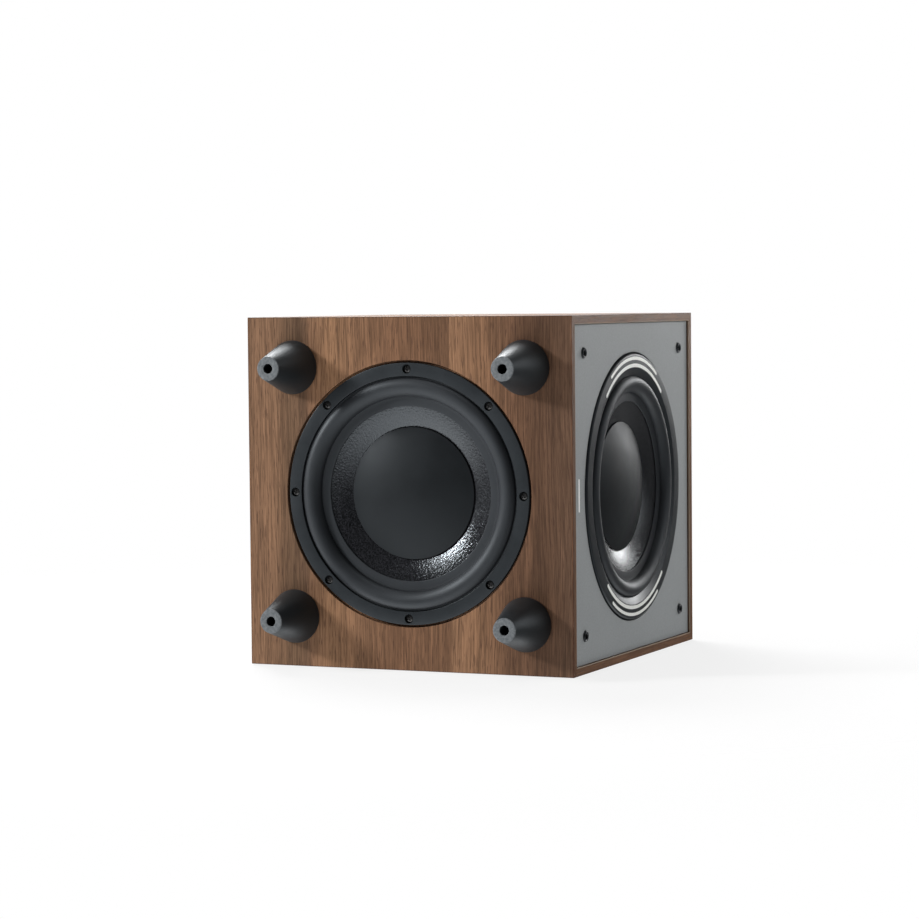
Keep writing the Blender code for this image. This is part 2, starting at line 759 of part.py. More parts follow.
def build_inlet(finish):
    """The three-pin mains inlet: a bezel, a body with its socket, and the pins in it."""
    flange = (0.0165, 0.0125)
    body = (0.0135, 0.0100)
    socket = (0.0120, 0.0083)
    floor = PLATE_FACE - 0.0145
    back = PLATE_FACE - 0.0185

    def slab(half, low_y, high_y):
        return block(
            (INLET_X - half[0], low_y, MAINS_Z - half[1]),
            (INLET_X + half[0], high_y, MAINS_Z + half[1]),
        )

    inlet = add("mains_inlet", slab(flange, PLATE_FACE + GAP, PLATE_FACE + BEZEL), finish)
    boolean(inlet, "inlet_body", slab(body, back, PLATE_FACE + BEZEL - JOIN), "UNION")
    boolean(inlet, "inlet_socket", slab(socket, floor, PLATE_FACE + BEZEL + CLEAR), "DIFFERENCE")
    pin_length = 0.0095
    pin_half = (0.0010, 0.0020)
    pins = []
    for x, z in ((-0.0070, -0.0020), (0.0, 0.0020), (0.0070, -0.0020)):
        low = (INLET_X + x - pin_half[0], floor - JOIN, MAINS_Z + z - pin_half[1])
        high = (INLET_X + x + pin_half[0], floor + pin_length, MAINS_Z + z + pin_half[1])
        pins.append((block(low, high), Matrix.Identity(4)))
    boolean(inlet, "inlet_pins", joined(pins), "UNION")


def build_rocker(finish):
    """The mains rocker, at rest with its upper end pressed in, inside its frame."""
    bezel = (0.0080, 0.0110)
    sleeve = (0.0060, 0.0090)
    hollow = (0.0052, 0.0082)
    back = PLATE_FACE - 0.0120
    floor = PLATE_FACE - 0.0105

    def slab(half, low_y, high_y):
        return block(
            (ROCKER_X - half[0], low_y, MAINS_Z - half[1]),
            (ROCKER_X + half[0], high_y, MAINS_Z + half[1]),
        )

    frame = add("rocker_frame", slab(bezel, PLATE_FACE + GAP, PLATE_FACE + BEZEL), finish)
    boolean(frame, "frame_sleeve", slab(sleeve, back, PLATE_FACE + BEZEL - JOIN), "UNION")
    boolean(frame, "frame_hollow", slab(hollow, floor, PLATE_FACE + CLEAR), "DIFFERENCE")
    profile = [
        (-0.0026, -0.0076),
        (0.0032, -0.0076),
        (0.0020, 0.0),
        (0.0032, 0.0076),
        (-0.0026, 0.0076),
        (-0.0040, 0.0),
    ]
    place = at(ROCKER_X, PLATE_FACE, MAINS_Z) @ Matrix.Rotation(ROCKER_TILT, 4, "X")
    add("power_rocker", prism(profile, -0.0049, 0.0049, axis="X"), finish, place=place)


def build_speaker_lead():
    """The pair of wires from the amplifier to the woofer, sheathed as one."""
    red = material("lead_sheath", (0.08, 0.01, 0.01), 0.5)
    route = [
        (-0.055, BOARD_FRONT - GAP, 0.262),
        (-0.053, 0.094, 0.262),
        (-0.045, 0.070, 0.264),
        (-0.030, 0.035, 0.270),
        (-0.012, 0.000, 0.274),
        (-0.003, -0.035, 0.274),
        (0.000, -0.062, 0.272),
        (0.000, -0.080, 0.267),
        (0.000, -0.088, 0.262),
        (0.000, -0.089, 0.2560),
    ]
    curve = bpy.data.curves.new("speaker_lead", "CURVE")
    curve.dimensions = "3D"
    curve.bevel_depth = 0.0016
    curve.bevel_resolution = 2
    curve.use_fill_caps = True
    spline = curve.splines.new("POLY")
    points = smooth_route(route, 3)
    spline.points.add(len(points) - 1)
    for point, place in zip(spline.points, points):
        point.co = (*place, 1)
    curve.materials.append(red)
    lead = bpy.data.objects.new("speaker_lead", curve)
    bpy.context.scene.collection.objects.link(lead)


def smooth_route(route, steps):
    """Points along a Catmull-Rom curve through the route."""
    knots = [Vector(point) for point in route]
    knots = [2 * knots[0] - knots[1]] + knots + [2 * knots[-1] - knots[-2]]
    points = []
    for a, b, c, d in zip(knots, knots[1:], knots[2:], knots[3:]):
        for i in range(steps):
            t = i / steps
            points.append(
                0.5
                * (
                    2 * b
                    + (c - a) * t
                    + (2 * a - 5 * b + 4 * c - d) * t**2
                    + (3 * b - a - 3 * c + d) * t**3
                )
            )
    return points + [knots[-2]]


def main():
    clear_scene()
    facing_front = at(0, FRONT_FACE, CENTRE_Z) @ Matrix.Rotation(math.pi / 2, 4, "X")
    facing_down = at(0, 0, FOOT_HEIGHT) @ Matrix.Rotation(math.pi, 4, "X")
    woofer_axis = axis_empty("woofer_axis", facing_front)
    radiator_axis = axis_empty("radiator_axis", facing_down)
    build_cabinet(radiator_axis, woofer_axis)
    build_woofer(woofer_axis)
    build_radiator(radiator_axis)
    build_feet()
    build_sockets(woofer_axis)
    build_amplifier()
    build_controls()
    build_speaker_lead()


main()
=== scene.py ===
"""The looks of a powered subwoofer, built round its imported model.

Metres, +Z up, -Y the front. The object stands on its feet here, but the camera sees it laid on its
right side with the underside towards it, so the picture's up is -X and the picture's right is -Y.
Outlines of turned pieces are (radius, height) pairs in millimetres, measured from the face that the
piece is let into, with height positive outwards. A third number rounds that corner by its radius.
"""

import math
import random

import bmesh
import bpy
from mathutils import Matrix, Vector
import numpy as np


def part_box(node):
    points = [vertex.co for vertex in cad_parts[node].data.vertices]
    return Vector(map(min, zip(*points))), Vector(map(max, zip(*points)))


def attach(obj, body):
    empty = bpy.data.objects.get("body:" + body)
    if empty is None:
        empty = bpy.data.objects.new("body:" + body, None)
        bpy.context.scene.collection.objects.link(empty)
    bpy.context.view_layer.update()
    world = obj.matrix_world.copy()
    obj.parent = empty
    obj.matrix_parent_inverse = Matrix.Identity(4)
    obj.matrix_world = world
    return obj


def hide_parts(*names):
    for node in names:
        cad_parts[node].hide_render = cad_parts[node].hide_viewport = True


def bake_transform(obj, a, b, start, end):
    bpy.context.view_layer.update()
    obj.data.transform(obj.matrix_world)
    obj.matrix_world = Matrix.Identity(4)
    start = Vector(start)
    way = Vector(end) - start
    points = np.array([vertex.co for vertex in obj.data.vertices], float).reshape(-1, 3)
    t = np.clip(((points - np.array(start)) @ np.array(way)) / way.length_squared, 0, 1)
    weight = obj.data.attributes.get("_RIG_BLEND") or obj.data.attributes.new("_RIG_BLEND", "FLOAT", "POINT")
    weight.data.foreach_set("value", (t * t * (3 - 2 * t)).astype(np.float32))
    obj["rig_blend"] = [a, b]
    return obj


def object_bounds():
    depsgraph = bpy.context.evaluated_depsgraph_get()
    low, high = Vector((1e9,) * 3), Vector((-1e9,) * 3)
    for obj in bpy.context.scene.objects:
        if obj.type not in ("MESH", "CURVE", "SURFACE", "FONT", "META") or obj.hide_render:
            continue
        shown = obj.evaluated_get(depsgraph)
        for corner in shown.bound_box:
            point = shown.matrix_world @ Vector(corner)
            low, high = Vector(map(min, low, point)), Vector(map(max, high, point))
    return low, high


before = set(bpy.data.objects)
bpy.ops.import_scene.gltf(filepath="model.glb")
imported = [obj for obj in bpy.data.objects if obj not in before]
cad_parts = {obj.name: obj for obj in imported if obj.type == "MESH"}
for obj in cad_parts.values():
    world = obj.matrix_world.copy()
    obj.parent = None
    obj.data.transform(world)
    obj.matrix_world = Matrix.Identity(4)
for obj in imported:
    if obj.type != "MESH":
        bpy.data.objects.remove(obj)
cad_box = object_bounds()

MM = 0.001
MERGE = 1e-6
SHARP = math.radians(34)
RING_STEPS = 144
FOOT_STEPS = 72
SMALL_STEPS = 40
GAP = 0.0003
BAFFLE_REVEAL = 0.001

# Bottom and top of a printed mark above its face
INK = (0.00001, 0.00006)

# Driving sizes, read from the frame
HALF = cad_box[1].x
TOP_Z = cad_box[1].z
UNDER_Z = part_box("bottom_panel")[0].z
CENTRE_Z = (UNDER_Z + TOP_Z) / 2
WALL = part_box("bottom_panel")[1].z - UNDER_Z
FRONT_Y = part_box("bottom_panel")[0].y
FRONT_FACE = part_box("front_baffle")[0].y
BAFFLE_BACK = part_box("front_baffle")[1].y
BAFFLE_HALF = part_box("front_baffle")[1].x
BACK_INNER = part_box("back_panel")[0].y
PLATE_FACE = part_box("amp_plate")[1].y
PLATE_HALF_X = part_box("amp_plate")[1].x
PLATE_HALF_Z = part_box("amp_plate")[1].z - CENTRE_Z
TRIM_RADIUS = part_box("woofer_trim_ring")[1].x / MM
FLANGE_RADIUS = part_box("radiator_frame")[1].x / MM
CONE_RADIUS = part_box("woofer_cone")[1].x / MM
CAP_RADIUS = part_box("woofer_dust_cap")[1].x / MM
FOOT_RADIUS = (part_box("foot_front_left")[1].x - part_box("foot_front_left")[0].x) / 2 / MM
LIP = HALF - BAFFLE_HALF - BAFFLE_REVEAL
DRIVER_HOLE = 98.5
SCREW_CIRCLE = 102.3
ROLL_INNER = 79.6
ROLL_INNER_HEIGHT = -4.5
ROLL_OUTER_HEIGHT = -2.5
ROLL_BULGE = 6.2
LANDING_RADIUS = 71.8
LANDING_HEIGHT = -4.9
CAP_EDGE_HEIGHT = -11.7
CAP_RISE = 8.8

# Places that outlines are drawn in, with local +Z outwards
FRONT = Matrix.Translation((0, FRONT_FACE, CENTRE_Z)) @ Matrix.Rotation(math.pi / 2, 4, "X")
UNDER = Matrix.Translation((0, 0, UNDER_Z)) @ Matrix.Rotation(math.pi, 4, "X")


def centre_of(node):
    low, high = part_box(node)
    return (low + high) / 2


def half_of(node):
    low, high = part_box(node)
    return (high - low) / 2


def on_front(node):
    """The node's place on the baffle, with local +Z out of the front."""
    centre = centre_of(node)
    turn = Matrix.Rotation(math.pi / 2, 4, "X")
    return Matrix.Translation((centre.x, FRONT_FACE, centre.z)) @ turn


def on_back(x, z):
    """A place on the amplifier panel whose local +Z points out of the back and local -Y up."""
    return Matrix.Translation((x, PLATE_FACE, z)) @ Matrix.Rotation(-math.pi / 2, 4, "X")


def fitting_place(node):
    """The node's place on the amplifier panel."""
    centre = centre_of(node)
    return on_back(centre.x, centre.z)


# Camera


LENS = 117.35
SENSOR = 36.0
CAMERA_PLACE = Vector((-0.1592, -1.0139, -2.1778))
CAMERA_AIM = Vector((-0.0290, -0.0467, UNDER_Z))
CAMERA_ROLL = math.radians(-0.51)


def make_camera():
    """The object lies on its right side, so the camera's up is -X."""
    data = bpy.data.cameras.new("camera")
    data.lens = LENS
    data.sensor_width = SENSOR
    data.clip_start = 0.05
    data.clip_end = 50
    camera = bpy.data.objects.new("camera", data)
    bpy.context.scene.collection.objects.link(camera)
    back = (CAMERA_PLACE - CAMERA_AIM).normalized()
    level_up = Vector((-1, 0, 0))
    up = (level_up - back * level_up.dot(back)).normalized()
    right = up.cross(back)
    turn = Matrix((right, up, back)).transposed().to_4x4()
    roll = Matrix.Rotation(CAMERA_ROLL, 4, "Z")
    camera.matrix_world = Matrix.Translation(CAMERA_PLACE) @ turn @ roll
    bpy.context.scene.camera = camera


# Node trees


class Nodes:
    """The node tree of a material or a world, with short names for what it is built from."""

    def __init__(self, owner):
        owner.use_nodes = True
        self.tree = owner.node_tree

    def set(self, node, socket, value):
        """Gives a socket a value, or links it if the value is another node's output."""
        if isinstance(value, bpy.types.NodeSocket):
            self.tree.links.new(value, node.inputs[socket])
        else:
            node.inputs[socket].default_value = value

    def node(self, kind, inputs=(), **settings):
        made = self.tree.nodes.new(kind)
        for key, value in settings.items():
            setattr(made, key, value)
        for socket, value in dict(inputs).items():
            self.set(made, socket, value)
        return made

    def math(self, operation, a, b=0.0):
        return self.node("ShaderNodeMath", {0: a, 1: b}, operation=operation).outputs[0]

    def fit(self, value, low, high, to_low=0.0, to_high=1.0, how="LINEAR"):
        inputs = {0: value, 1: low, 2: high, 3: to_low, 4: to_high}
        return self.node("ShaderNodeMapRange", inputs, interpolation_type=how).outputs[0]


class Finish(Nodes):
    """One procedural material round a Principled shader."""

    def __init__(self, name, colour, roughness, metallic=0.0, **values):
        self.material = bpy.data.materials.new(name)
        super().__init__(self.material)
        self.shader = self.tree.nodes["Principled BSDF"]
        self.set(self.shader, "Base Color", (*colour, 1))
        self.set(self.shader, "Roughness", roughness)
        self.set(self.shader, "Metallic", metallic)
        for socket, value in values.items():
            self.set(self.shader, socket.replace("_", " "), value)

    def place(self, scale=(1, 1, 1)):
        """Row-frame coordinates in metres, times a scale."""
        coordinates = self.node("ShaderNodeTexCoord").outputs["Object"]
        inputs = {"Vector": coordinates, "Scale": scale}
        return self.node("ShaderNodeMapping", inputs).outputs[0]

    def noise(self, vector, scale, detail=3.0, roughness=0.5):
        inputs = {"Vector": vector, "Scale": scale, "Detail": detail, "Roughness": roughness}
        return self.node("ShaderNodeTexNoise", inputs).outputs[0]

    def cells(self, vector, scale):
        inputs = {"Vector": vector, "Scale": scale}
        made = self.node("ShaderNodeTexVoronoi", inputs, feature="SMOOTH_F1")
        return made.outputs["Distance"]

    def ramp(self, value, stops):
        """Colours or greys along a value from 0 to 1, as (place, colour) stops."""
        made = self.node("ShaderNodeValToRGB", {"Fac": value})
        elements = made.color_ramp.elements
        while len(elements) < len(stops):
            elements.new(0.5)
        for element, (place, colour) in zip(elements, stops):
            element.position = place
            element.color = (*colour, 1)
        return made.outputs["Color"]

    def mix(self, share, a, b, how="MIX"):
        made = self.node("ShaderNodeMix", data_type="RGBA", blend_type=how)
        for index, value in ((0, share), (6, a), (7, b)):
            self.set(made, index, value)
        return made.outputs[2]

    def bump(self, height, depth, before=None):
        """Depth is the height in metres that a full step of the height stands for."""
        inputs = {"Height": height, "Distance": depth, "Strength": 1.0}
        if before:
            inputs["Normal"] = before
        return self.node("ShaderNodeBump", inputs).outputs[0]

    def edges(self, reach=0.0005):
        """From 0 on a face to 1 at its edges, found by how far a small bevel would tilt it."""
        bevelled = self.node("ShaderNodeBevel", {"Radius": reach}, samples=4).outputs[0]
        facing = self.node("ShaderNodeNewGeometry").outputs["Normal"]
        agree = self.node("ShaderNodeVectorMath", {0: bevelled, 1: facing}, operation="DOT_PRODUCT")
        return self.fit(agree.outputs["Value"], 0.99, 0.75)

    def use(self, **links):
        for socket, value in links.items():
            self.set(self.shader, socket.replace("_", " "), value)
        return self.material


def shade(colour, factor):
    return tuple(min(1.0, channel * factor) for channel in colour)


def moulded(
    name, colour, roughness, grain=0.00035, depth=0.00003, wear_and_highlight_share=0.35, worn=2.6, **values
):
    """Moulded plastic or rubber: a fine texture, slight blotches, and lighter edges: wear, and painted
    highlight where set strong.
    """
    f = Finish(name, colour, roughness, **values)
    place = f.place()
    grit = f.noise(place, 1 / grain, 2.0)
    cloud = f.noise(place, 28.0, 4.0, 0.6)
    tone = f.ramp(cloud, [(0.3, shade(colour, 0.86)), (0.7, shade(colour, 1.14))])
    specks = f.fit(grit, 0.35, 0.65, 0.9, 1.1)
    tone = f.mix(1.0, tone, specks, "MULTIPLY")
    # Lighter edges: wear, and where the share and lift are set strong, as on the trim ring, a painted
    # highlight.
    wear_and_highlight = f.math("MULTIPLY", f.edges(), wear_and_highlight_share)
    tone = f.mix(wear_and_highlight, tone, (*shade(colour, worn), 1))
    gloss = f.fit(cloud, 0.3, 0.7, roughness - 0.05, roughness + 0.06)
    return f.use(Base_Color=tone, Roughness=gloss, Normal=f.bump(grit, depth))


def painted(name, colour, roughness, peel=0.0016, depth=0.000012, metallic=0.0, **values):
    """Sprayed lacquer: a faint orange peel over a fine tooth."""
    f = Finish(name, colour, roughness, metallic, **values)
    place = f.place()
    orange = f.noise(place, 1 / peel, 2.0)
    tooth = f.noise(place, 1500.0, 3.0)
    cloud = f.noise(place, 9.0, 3.0, 0.55)
    tone = f.ramp(cloud, [(0.3, shade(colour, 0.965)), (0.7, shade(colour, 1.03))])
    tone = f.mix(1.0, tone, f.fit(tooth, 0.35, 0.65, 0.93, 1.07), "MULTIPLY")
    tone = f.mix(f.math("MULTIPLY", f.edges(), 0.4), tone, (*shade(colour, 1.5), 1))
    gloss = f.fit(orange, 0.3, 0.7, roughness - 0.03, roughness + 0.04)
    normal = f.bump(tooth, depth * 0.4, f.bump(orange, depth))
    return f.use(Base_Color=tone, Roughness=gloss, Normal=normal)


def metal(name, colour, roughness, stretch=(1, 1, 1), depth=0.000006):
    """Plated, turned or drawn metal: fine tool marks along the two axes that aren't stretched."""
    f = Finish(name, colour, roughness, 1.0)
    marks = f.noise(f.place(stretch), 900.0, 3.0)
    cloud = f.noise(f.place(), 60.0, 4.0, 0.6)
    tone = f.ramp(cloud, [(0.3, shade(colour, 0.85)), (0.75, shade(colour, 1.1))])
    gloss = f.fit(f.math("ADD", marks, cloud), 0.7, 1.3, roughness - 0.06, roughness + 0.12)
    return f.use(Base_Color=tone, Roughness=gloss, Normal=f.bump(marks, depth))


def fibrous(name, dark, light, size, roughness=0.9, depth=0.0002):
    """Felt, fibreboard, cloth or wound tape: tangled fibres of one size."""
    f = Finish(name, light, roughness)
    fibres = f.noise(f.place(), 1 / size, 5.0, 0.65)
    blotch = f.noise(f.place(), 45.0, 3.0)
    tone = f.ramp(fibres, [(0.32, dark), (0.66, light)])
    tone = f.mix(1.0, tone, f.fit(blotch, 0.3, 0.7, 0.88, 1.1), "MULTIPLY")
    gloss = f.fit(fibres, 0.3, 0.7, roughness - 0.08, min(1.0, roughness + 0.05))
    return f.use(Base_Color=tone, Roughness=gloss, Normal=f.bump(fibres, depth))


# Walnut veneer


SEAMS = (-0.038, 0.0905)
VENEER_TONES = [
    (-0.145, (0.122, 0.074, 0.052)),
    (-0.120, (0.098, 0.056, 0.037)),
    (-0.092, (0.140, 0.078, 0.050)),
    (-0.062, (0.205, 0.118, 0.073)),
    (-0.0385, (0.262, 0.153, 0.096)),
    (-0.0375, (0.146, 0.082, 0.051)),
    (0.010, (0.166, 0.092, 0.057)),
    (0.045, (0.212, 0.122, 0.076)),
    (0.070, (0.236, 0.138, 0.084)),
    (0.088, (0.215, 0.125, 0.080)),
    (0.092, (0.128, 0.078, 0.052)),
    (0.105, (0.135, 0.084, 0.055)),
    (0.122, (0.190, 0.113, 0.073)),
    (0.145, (0.196, 0.116, 0.075)),
]


def walnut(name, along_axis):
    """Veneer in three strips with its grain along X or Z, dark at its cut edges."""
    f = Finish(name, (0.19, 0.11, 0.07), 0.5, Specular_IOR_Level=0.1)
    coordinates = f.node("ShaderNodeTexCoord").outputs["Object"]
    axes = f.node("ShaderNodeSeparateXYZ", {0: coordinates}).outputs
    along, depth = (axes[0], axes[2]) if along_axis == "X" else (axes[2], axes[0])
    across = axes[1]

    first, second = (f.math("GREATER_THAN", across, seam) for seam in SEAMS)
    strip = f.math("ADD", first, second)
    shift = f.math("MULTIPLY", strip, 3.7)
    slow = {0: f.math("MULTIPLY", along, 2.2), 1: f.math("MULTIPLY", across, 6.0), 2: shift}
    wander = f.noise(f.node("ShaderNodeCombineXYZ", slow).outputs[0], 1.0, 1.0)
    bend = f.math("MULTIPLY", f.math("SUBTRACT", wander, 0.5), 0.022)
    bent = f.math("ADD", f.math("ADD", across, bend), shift)

    def grain(along_scale, across_scale, detail, roughness=0.55):
        vector = f.node(
            "ShaderNodeCombineXYZ",
            {
                0: f.math("MULTIPLY", along, along_scale),
                1: f.math("MULTIPLY", bent, across_scale),
                2: f.math("MULTIPLY", depth, across_scale),
            },
        ).outputs[0]
        return f.noise(vector, 1.0, detail, roughness)

    figure = grain(4.0, 95.0, 4.0)
    streaks = grain(9.0, 380.0, 3.0)
    fibres = grain(30.0, 940.0, 3.0, 0.65)
    pores = grain(70.0, 800.0, 1.0)

    span = VENEER_TONES[-1][0] - VENEER_TONES[0][0]
    stops = [((y - VENEER_TONES[0][0]) / span, tone) for y, tone in VENEER_TONES]
    drift = f.math("ADD", across, f.math("MULTIPLY", bend, 0.25))
    tone = f.ramp(f.fit(drift, -HALF, HALF), stops)
    tone = f.mix(1.0, tone, (0.77, 0.71, 0.625, 1), "MULTIPLY")
    tone = f.mix(1.0, tone, f.fit(figure, 0.35, 0.65, 0.84, 1.15), "MULTIPLY")
    tone = f.mix(1.0, tone, f.fit(streaks, 0.36, 0.64, 0.88, 1.11), "MULTIPLY")
    tone = f.mix(1.0, tone, f.fit(fibres, 0.40, 0.60, 0.76, 1.22), "MULTIPLY")
    pore = f.fit(pores, 0.59, 0.66)
    tone = f.mix(f.math("MULTIPLY", pore, 0.55), tone, (0.045, 0.022, 0.014, 1))

    edge_x = f.math("SUBTRACT", HALF, f.math("ABSOLUTE", axes[0]))
    edge_y = f.math("SUBTRACT", HALF, f.math("ABSOLUTE", axes[1]))
    middle = f.math("SUBTRACT", axes[2], CENTRE_Z)
    edge_z = f.math("SUBTRACT", HALF, f.math("ABSOLUTE", middle))
    second_least = f.math("MAXIMUM", f.math("MINIMUM", edge_x, edge_y), edge_z)
    other = f.math("MAXIMUM", f.math("MINIMUM", edge_x, edge_z), edge_y)
    nearest = f.math("MINIMUM", second_least, other)
    cut = f.fit(nearest, 0.0002, 0.0010, 0.55, 0.0)
    tone = f.mix(cut, tone, (0.035, 0.016, 0.014, 1))

    end_face = f.fit(edge_y, 0.0012, 0.0005)
    tone = f.mix(end_face, tone, (1.22, 1.08, 0.92, 1), "MULTIPLY")
    # Painted highlight: a pale line along the inner edge of the front lip, where the step faces the light.
    inner_edge = f.fit(f.math("MINIMUM", edge_x, edge_z), LIP - 0.0009, LIP - 0.0003)
    wear_and_highlight = f.math("MULTIPLY", f.math("MULTIPLY", end_face, inner_edge), 0.45)
    tone = f.mix(wear_and_highlight, tone, (0.50, 0.42, 0.33, 1))

    gloss = f.fit(fibres, 0.3, 0.7, 0.40, 0.56)
    normal = f.bump(fibres, 0.00003, f.bump(f.math("SUBTRACT", 1.0, pore), 0.00004))
    return f.use(Base_Color=tone, Roughness=gloss, Normal=normal)


# Driver finishes


def cone_finish(name, colour):
    """Coated cone: a pebbled glossy skin whose grain runs in no direction."""
    f = Finish(name, colour, 0.24, **cool(0.44))
    place = f.place()
    pebbles = f.cells(place, 620.0)
    grit = f.noise(place, 850.0, 3.0, 0.6)
    height = f.math("ADD", f.math("MULTIPLY", pebbles, 0.9), grit)
    cloud = f.noise(place, 30.0, 4.0)
    tone = f.ramp(grit, [(0.38, shade(colour, 0.1)), (0.62, shade(colour, 2.6))])
    gloss = f.fit(f.math("ADD", cloud, grit), 0.75, 1.25, 0.12, 0.26)
    return f.use(Base_Color=tone, Roughness=gloss, Normal=f.bump(height, 0.00018))


def foot_finish(name, colour):
    """Satin plastic, worn lighter and rougher on the face that it stands on."""
    f = Finish(name, colour, 0.42, **cool(0.5))
    place = f.place()
    height = f.node("ShaderNodeSeparateXYZ", {0: place}).outputs[2]
    grit = f.noise(place, 2200.0, 2.0)
    scuffs = f.noise(place, 420.0, 4.0, 0.65)
    cloud = f.noise(place, 35.0, 4.0)
    worn = f.fit(height, 0.0003, 0.0009, 1.0, 0.0)
    tip = f.ramp(scuffs, [(0.35, (0.060, 0.066, 0.070)), (0.7, (0.125, 0.132, 0.138))])
    body = f.ramp(cloud, [(0.3, shade(colour, 0.85)), (0.7, shade(colour, 1.15))])
    tone = f.mix(worn, body, tip)
    gloss = f.fit(cloud, 0.3, 0.7, 0.47, 0.57)
    gloss = f.math("ADD", gloss, f.math("MULTIPLY", worn, 0.25))
    normal = f.bump(scuffs, 0.00002, f.bump(grit, 0.000012))
    return f.use(Base_Color=tone, Roughness=gloss, Normal=normal)


def lens_finish(name, colour):
    f = Finish(name, colour, 0.12, Transmission_Weight=0.35, IOR=1.49)
    cloud = f.noise(f.place(), 260.0, 3.0)
    tone = f.ramp(cloud, [(0.3, shade(colour, 0.8)), (0.7, shade(colour, 1.2))])
    return f.use(Base_Color=tone, Normal=f.bump(cloud, 0.00002))


def cool(level):
    """A slightly blue highlight of this strength, for the slate-black mouldings."""
    return {"Specular_IOR_Level": level, "Specular_Tint": (0.84, 0.93, 1.0, 1)}


def make_finishes():
    """Every finish by its short name."""
    slate = (0.012, 0.014, 0.016)
    skin = (0.010, 0.011, 0.013)
    soot = (0.005, 0.005, 0.006)
    coal = (0.006, 0.007, 0.008)
    return {
        "walnut_x": walnut("walnut_along_x", "X"),
        "walnut_z": walnut("walnut_along_z", "Z"),
        "baffle": painted("baffle_lacquer", (0.245, 0.258, 0.262), 0.6, Specular_IOR_Level=0.2),
        "back": painted("back_paint", (0.016, 0.016, 0.017), 0.55, 0.0011, 0.00006),
        "plate": painted("plate_powder_coat", (0.014, 0.014, 0.015), 0.48, 0.0007, 0.00005, 0.2),
        # The trim ring's edges are lightened strongly: a painted highlight along its rims and bead.
        "trim": moulded("trim_ring_plastic", slate, 0.38, 0.0004, 0.00002, 0.7, 8.0, **cool(0.22)),
        "frame": moulded("radiator_frame_plastic", slate, 0.40, 0.00045, 0.00002, **cool(0.24)),
        "inlay": painted("arc_inlay", (0.80, 0.81, 0.77), 0.30),
        "print": painted("printed_white", (0.78, 0.78, 0.76), 0.5),
        "rubber": moulded("surround_rubber_skin", skin, 0.52, 0.0005, 0.00001, 0.2, **cool(0.34)),
        "cone": cone_finish("cone_coating", (0.006, 0.006, 0.007)),
        "cap": moulded("dust_cap_skin", coal, 0.50, 0.0003, 0.00001, 0.3, **cool(0.175)),
        "foot": foot_finish("foot_satin", (0.005, 0.006, 0.007)),
        "socket": moulded("socket_rubber_skin", soot, 0.32, 0.0005, 0.00003, 0.3, **cool(0.3)),
        "screw": moulded("blackened_screw", (0.005, 0.005, 0.0055), 0.26, 0.0004, 0.00001, 0.3),
        "knob": moulded("knob_skin", (0.014, 0.014, 0.015), 0.40, 0.0003, 0.00002, 0.6),
        "gloss_black": moulded("fitting_plastic", (0.011, 0.011, 0.012), 0.30, 0.0005, 0.00001),
        "anodised": metal("black_anodised", (0.045, 0.045, 0.048), 0.38, (1, 1, 0.05)),
        "nickel": metal("nickel_plate", (0.66, 0.64, 0.58), 0.22),
        "zinc": metal("zinc_plate", (0.55, 0.56, 0.52), 0.35),
        "basket": moulded("basket_enamel", (0.02, 0.02, 0.021), 0.45, 0.0006, 0.00004),
        "ferrite": moulded("ferrite_grey", (0.045, 0.045, 0.05), 0.65, 0.0006, 0.00006),
        "copper": metal("coil_wire", (0.60, 0.26, 0.11), 0.35, (1, 0.04, 1), 0.00004),
        "spider": fibrous("spider_weave", (0.16, 0.09, 0.02), (0.36, 0.22, 0.07), 0.0009),
        "felt": fibrous("damping_wool", (0.10, 0.10, 0.10), (0.34, 0.34, 0.33), 0.0016),
        "board": fibrous("fibreboard_cut", (0.20, 0.13, 0.07), (0.40, 0.28, 0.17), 0.0012, 0.85),
        "circuit": painted("solder_mask", (0.010, 0.085, 0.030), 0.35),
        "tape": fibrous("winding_tape", (0.36, 0.24, 0.03), (0.62, 0.44, 0.09), 0.002, 0.45),
        "lead": moulded("lead_jacket", (0.10, 0.012, 0.012), 0.42),
        "red": moulded("red_ring", (0.42, 0.018, 0.014), 0.38),
        "white": moulded("white_ring", (0.62, 0.62, 0.59), 0.38),
        "led": lens_finish("led_plastic", (0.10, 0.30, 0.62)),
    }


# Mesh work


def rounded(outline, steps=3):
    """The outline's (radius, height) points, with an arc at each point that has a third number."""
    points = []
    last = len(outline) - 1
    for i, point in enumerate(outline):
        here = Vector(point[:2])
        if len(point) < 3 or i in (0, last):
            points.append(here)
            continue
        before = Vector(outline[i - 1][:2]) - here
        after = Vector(outline[i + 1][:2]) - here
        reach = min(point[2], before.length * 0.48, after.length * 0.48)
        start = here + before.normalized() * reach
        end = here + after.normalized() * reach
        for j in range(steps + 1):
            t = j / steps
            points.append(start * (1 - t) ** 2 + here * 2 * t * (1 - t) + end * t**2)
    return points


def turned(outline, steps=RING_STEPS):
    """A closed surface of revolution about Z. An outline that starts on the axis ends on it too."""
    bm = bmesh.new()
    points = [bm.verts.new((point[0] * MM, 0, point[1] * MM)) for point in rounded(outline)]
    edges = [bm.edges.new(pair) for pair in zip(points, points[1:])]
    if outline[0][0] > 0:
        edges.append(bm.edges.new((points[-1], points[0])))
    bmesh.ops.spin(
        bm, geom=points + edges, cent=(0, 0, 0), axis=(0, 0, 1), angle=math.tau, steps=steps,
        use_merge=True,
    )
    bmesh.ops.remove_doubles(bm, verts=bm.verts, dist=MERGE)
    bmesh.ops.recalc_face_normals(bm, faces=bm.faces)
    return bm


def block(low, high):
    """A box between two corners, in metres."""
    low, high = Vector(low), Vector(high)
    bm = bmesh.new()
    bmesh.ops.create_cube(bm, size=1)
    bmesh.ops.scale(bm, vec=high - low, verts=bm.verts)
    bmesh.ops.translate(bm, vec=(low + high) / 2, verts=bm.verts)
    return bm


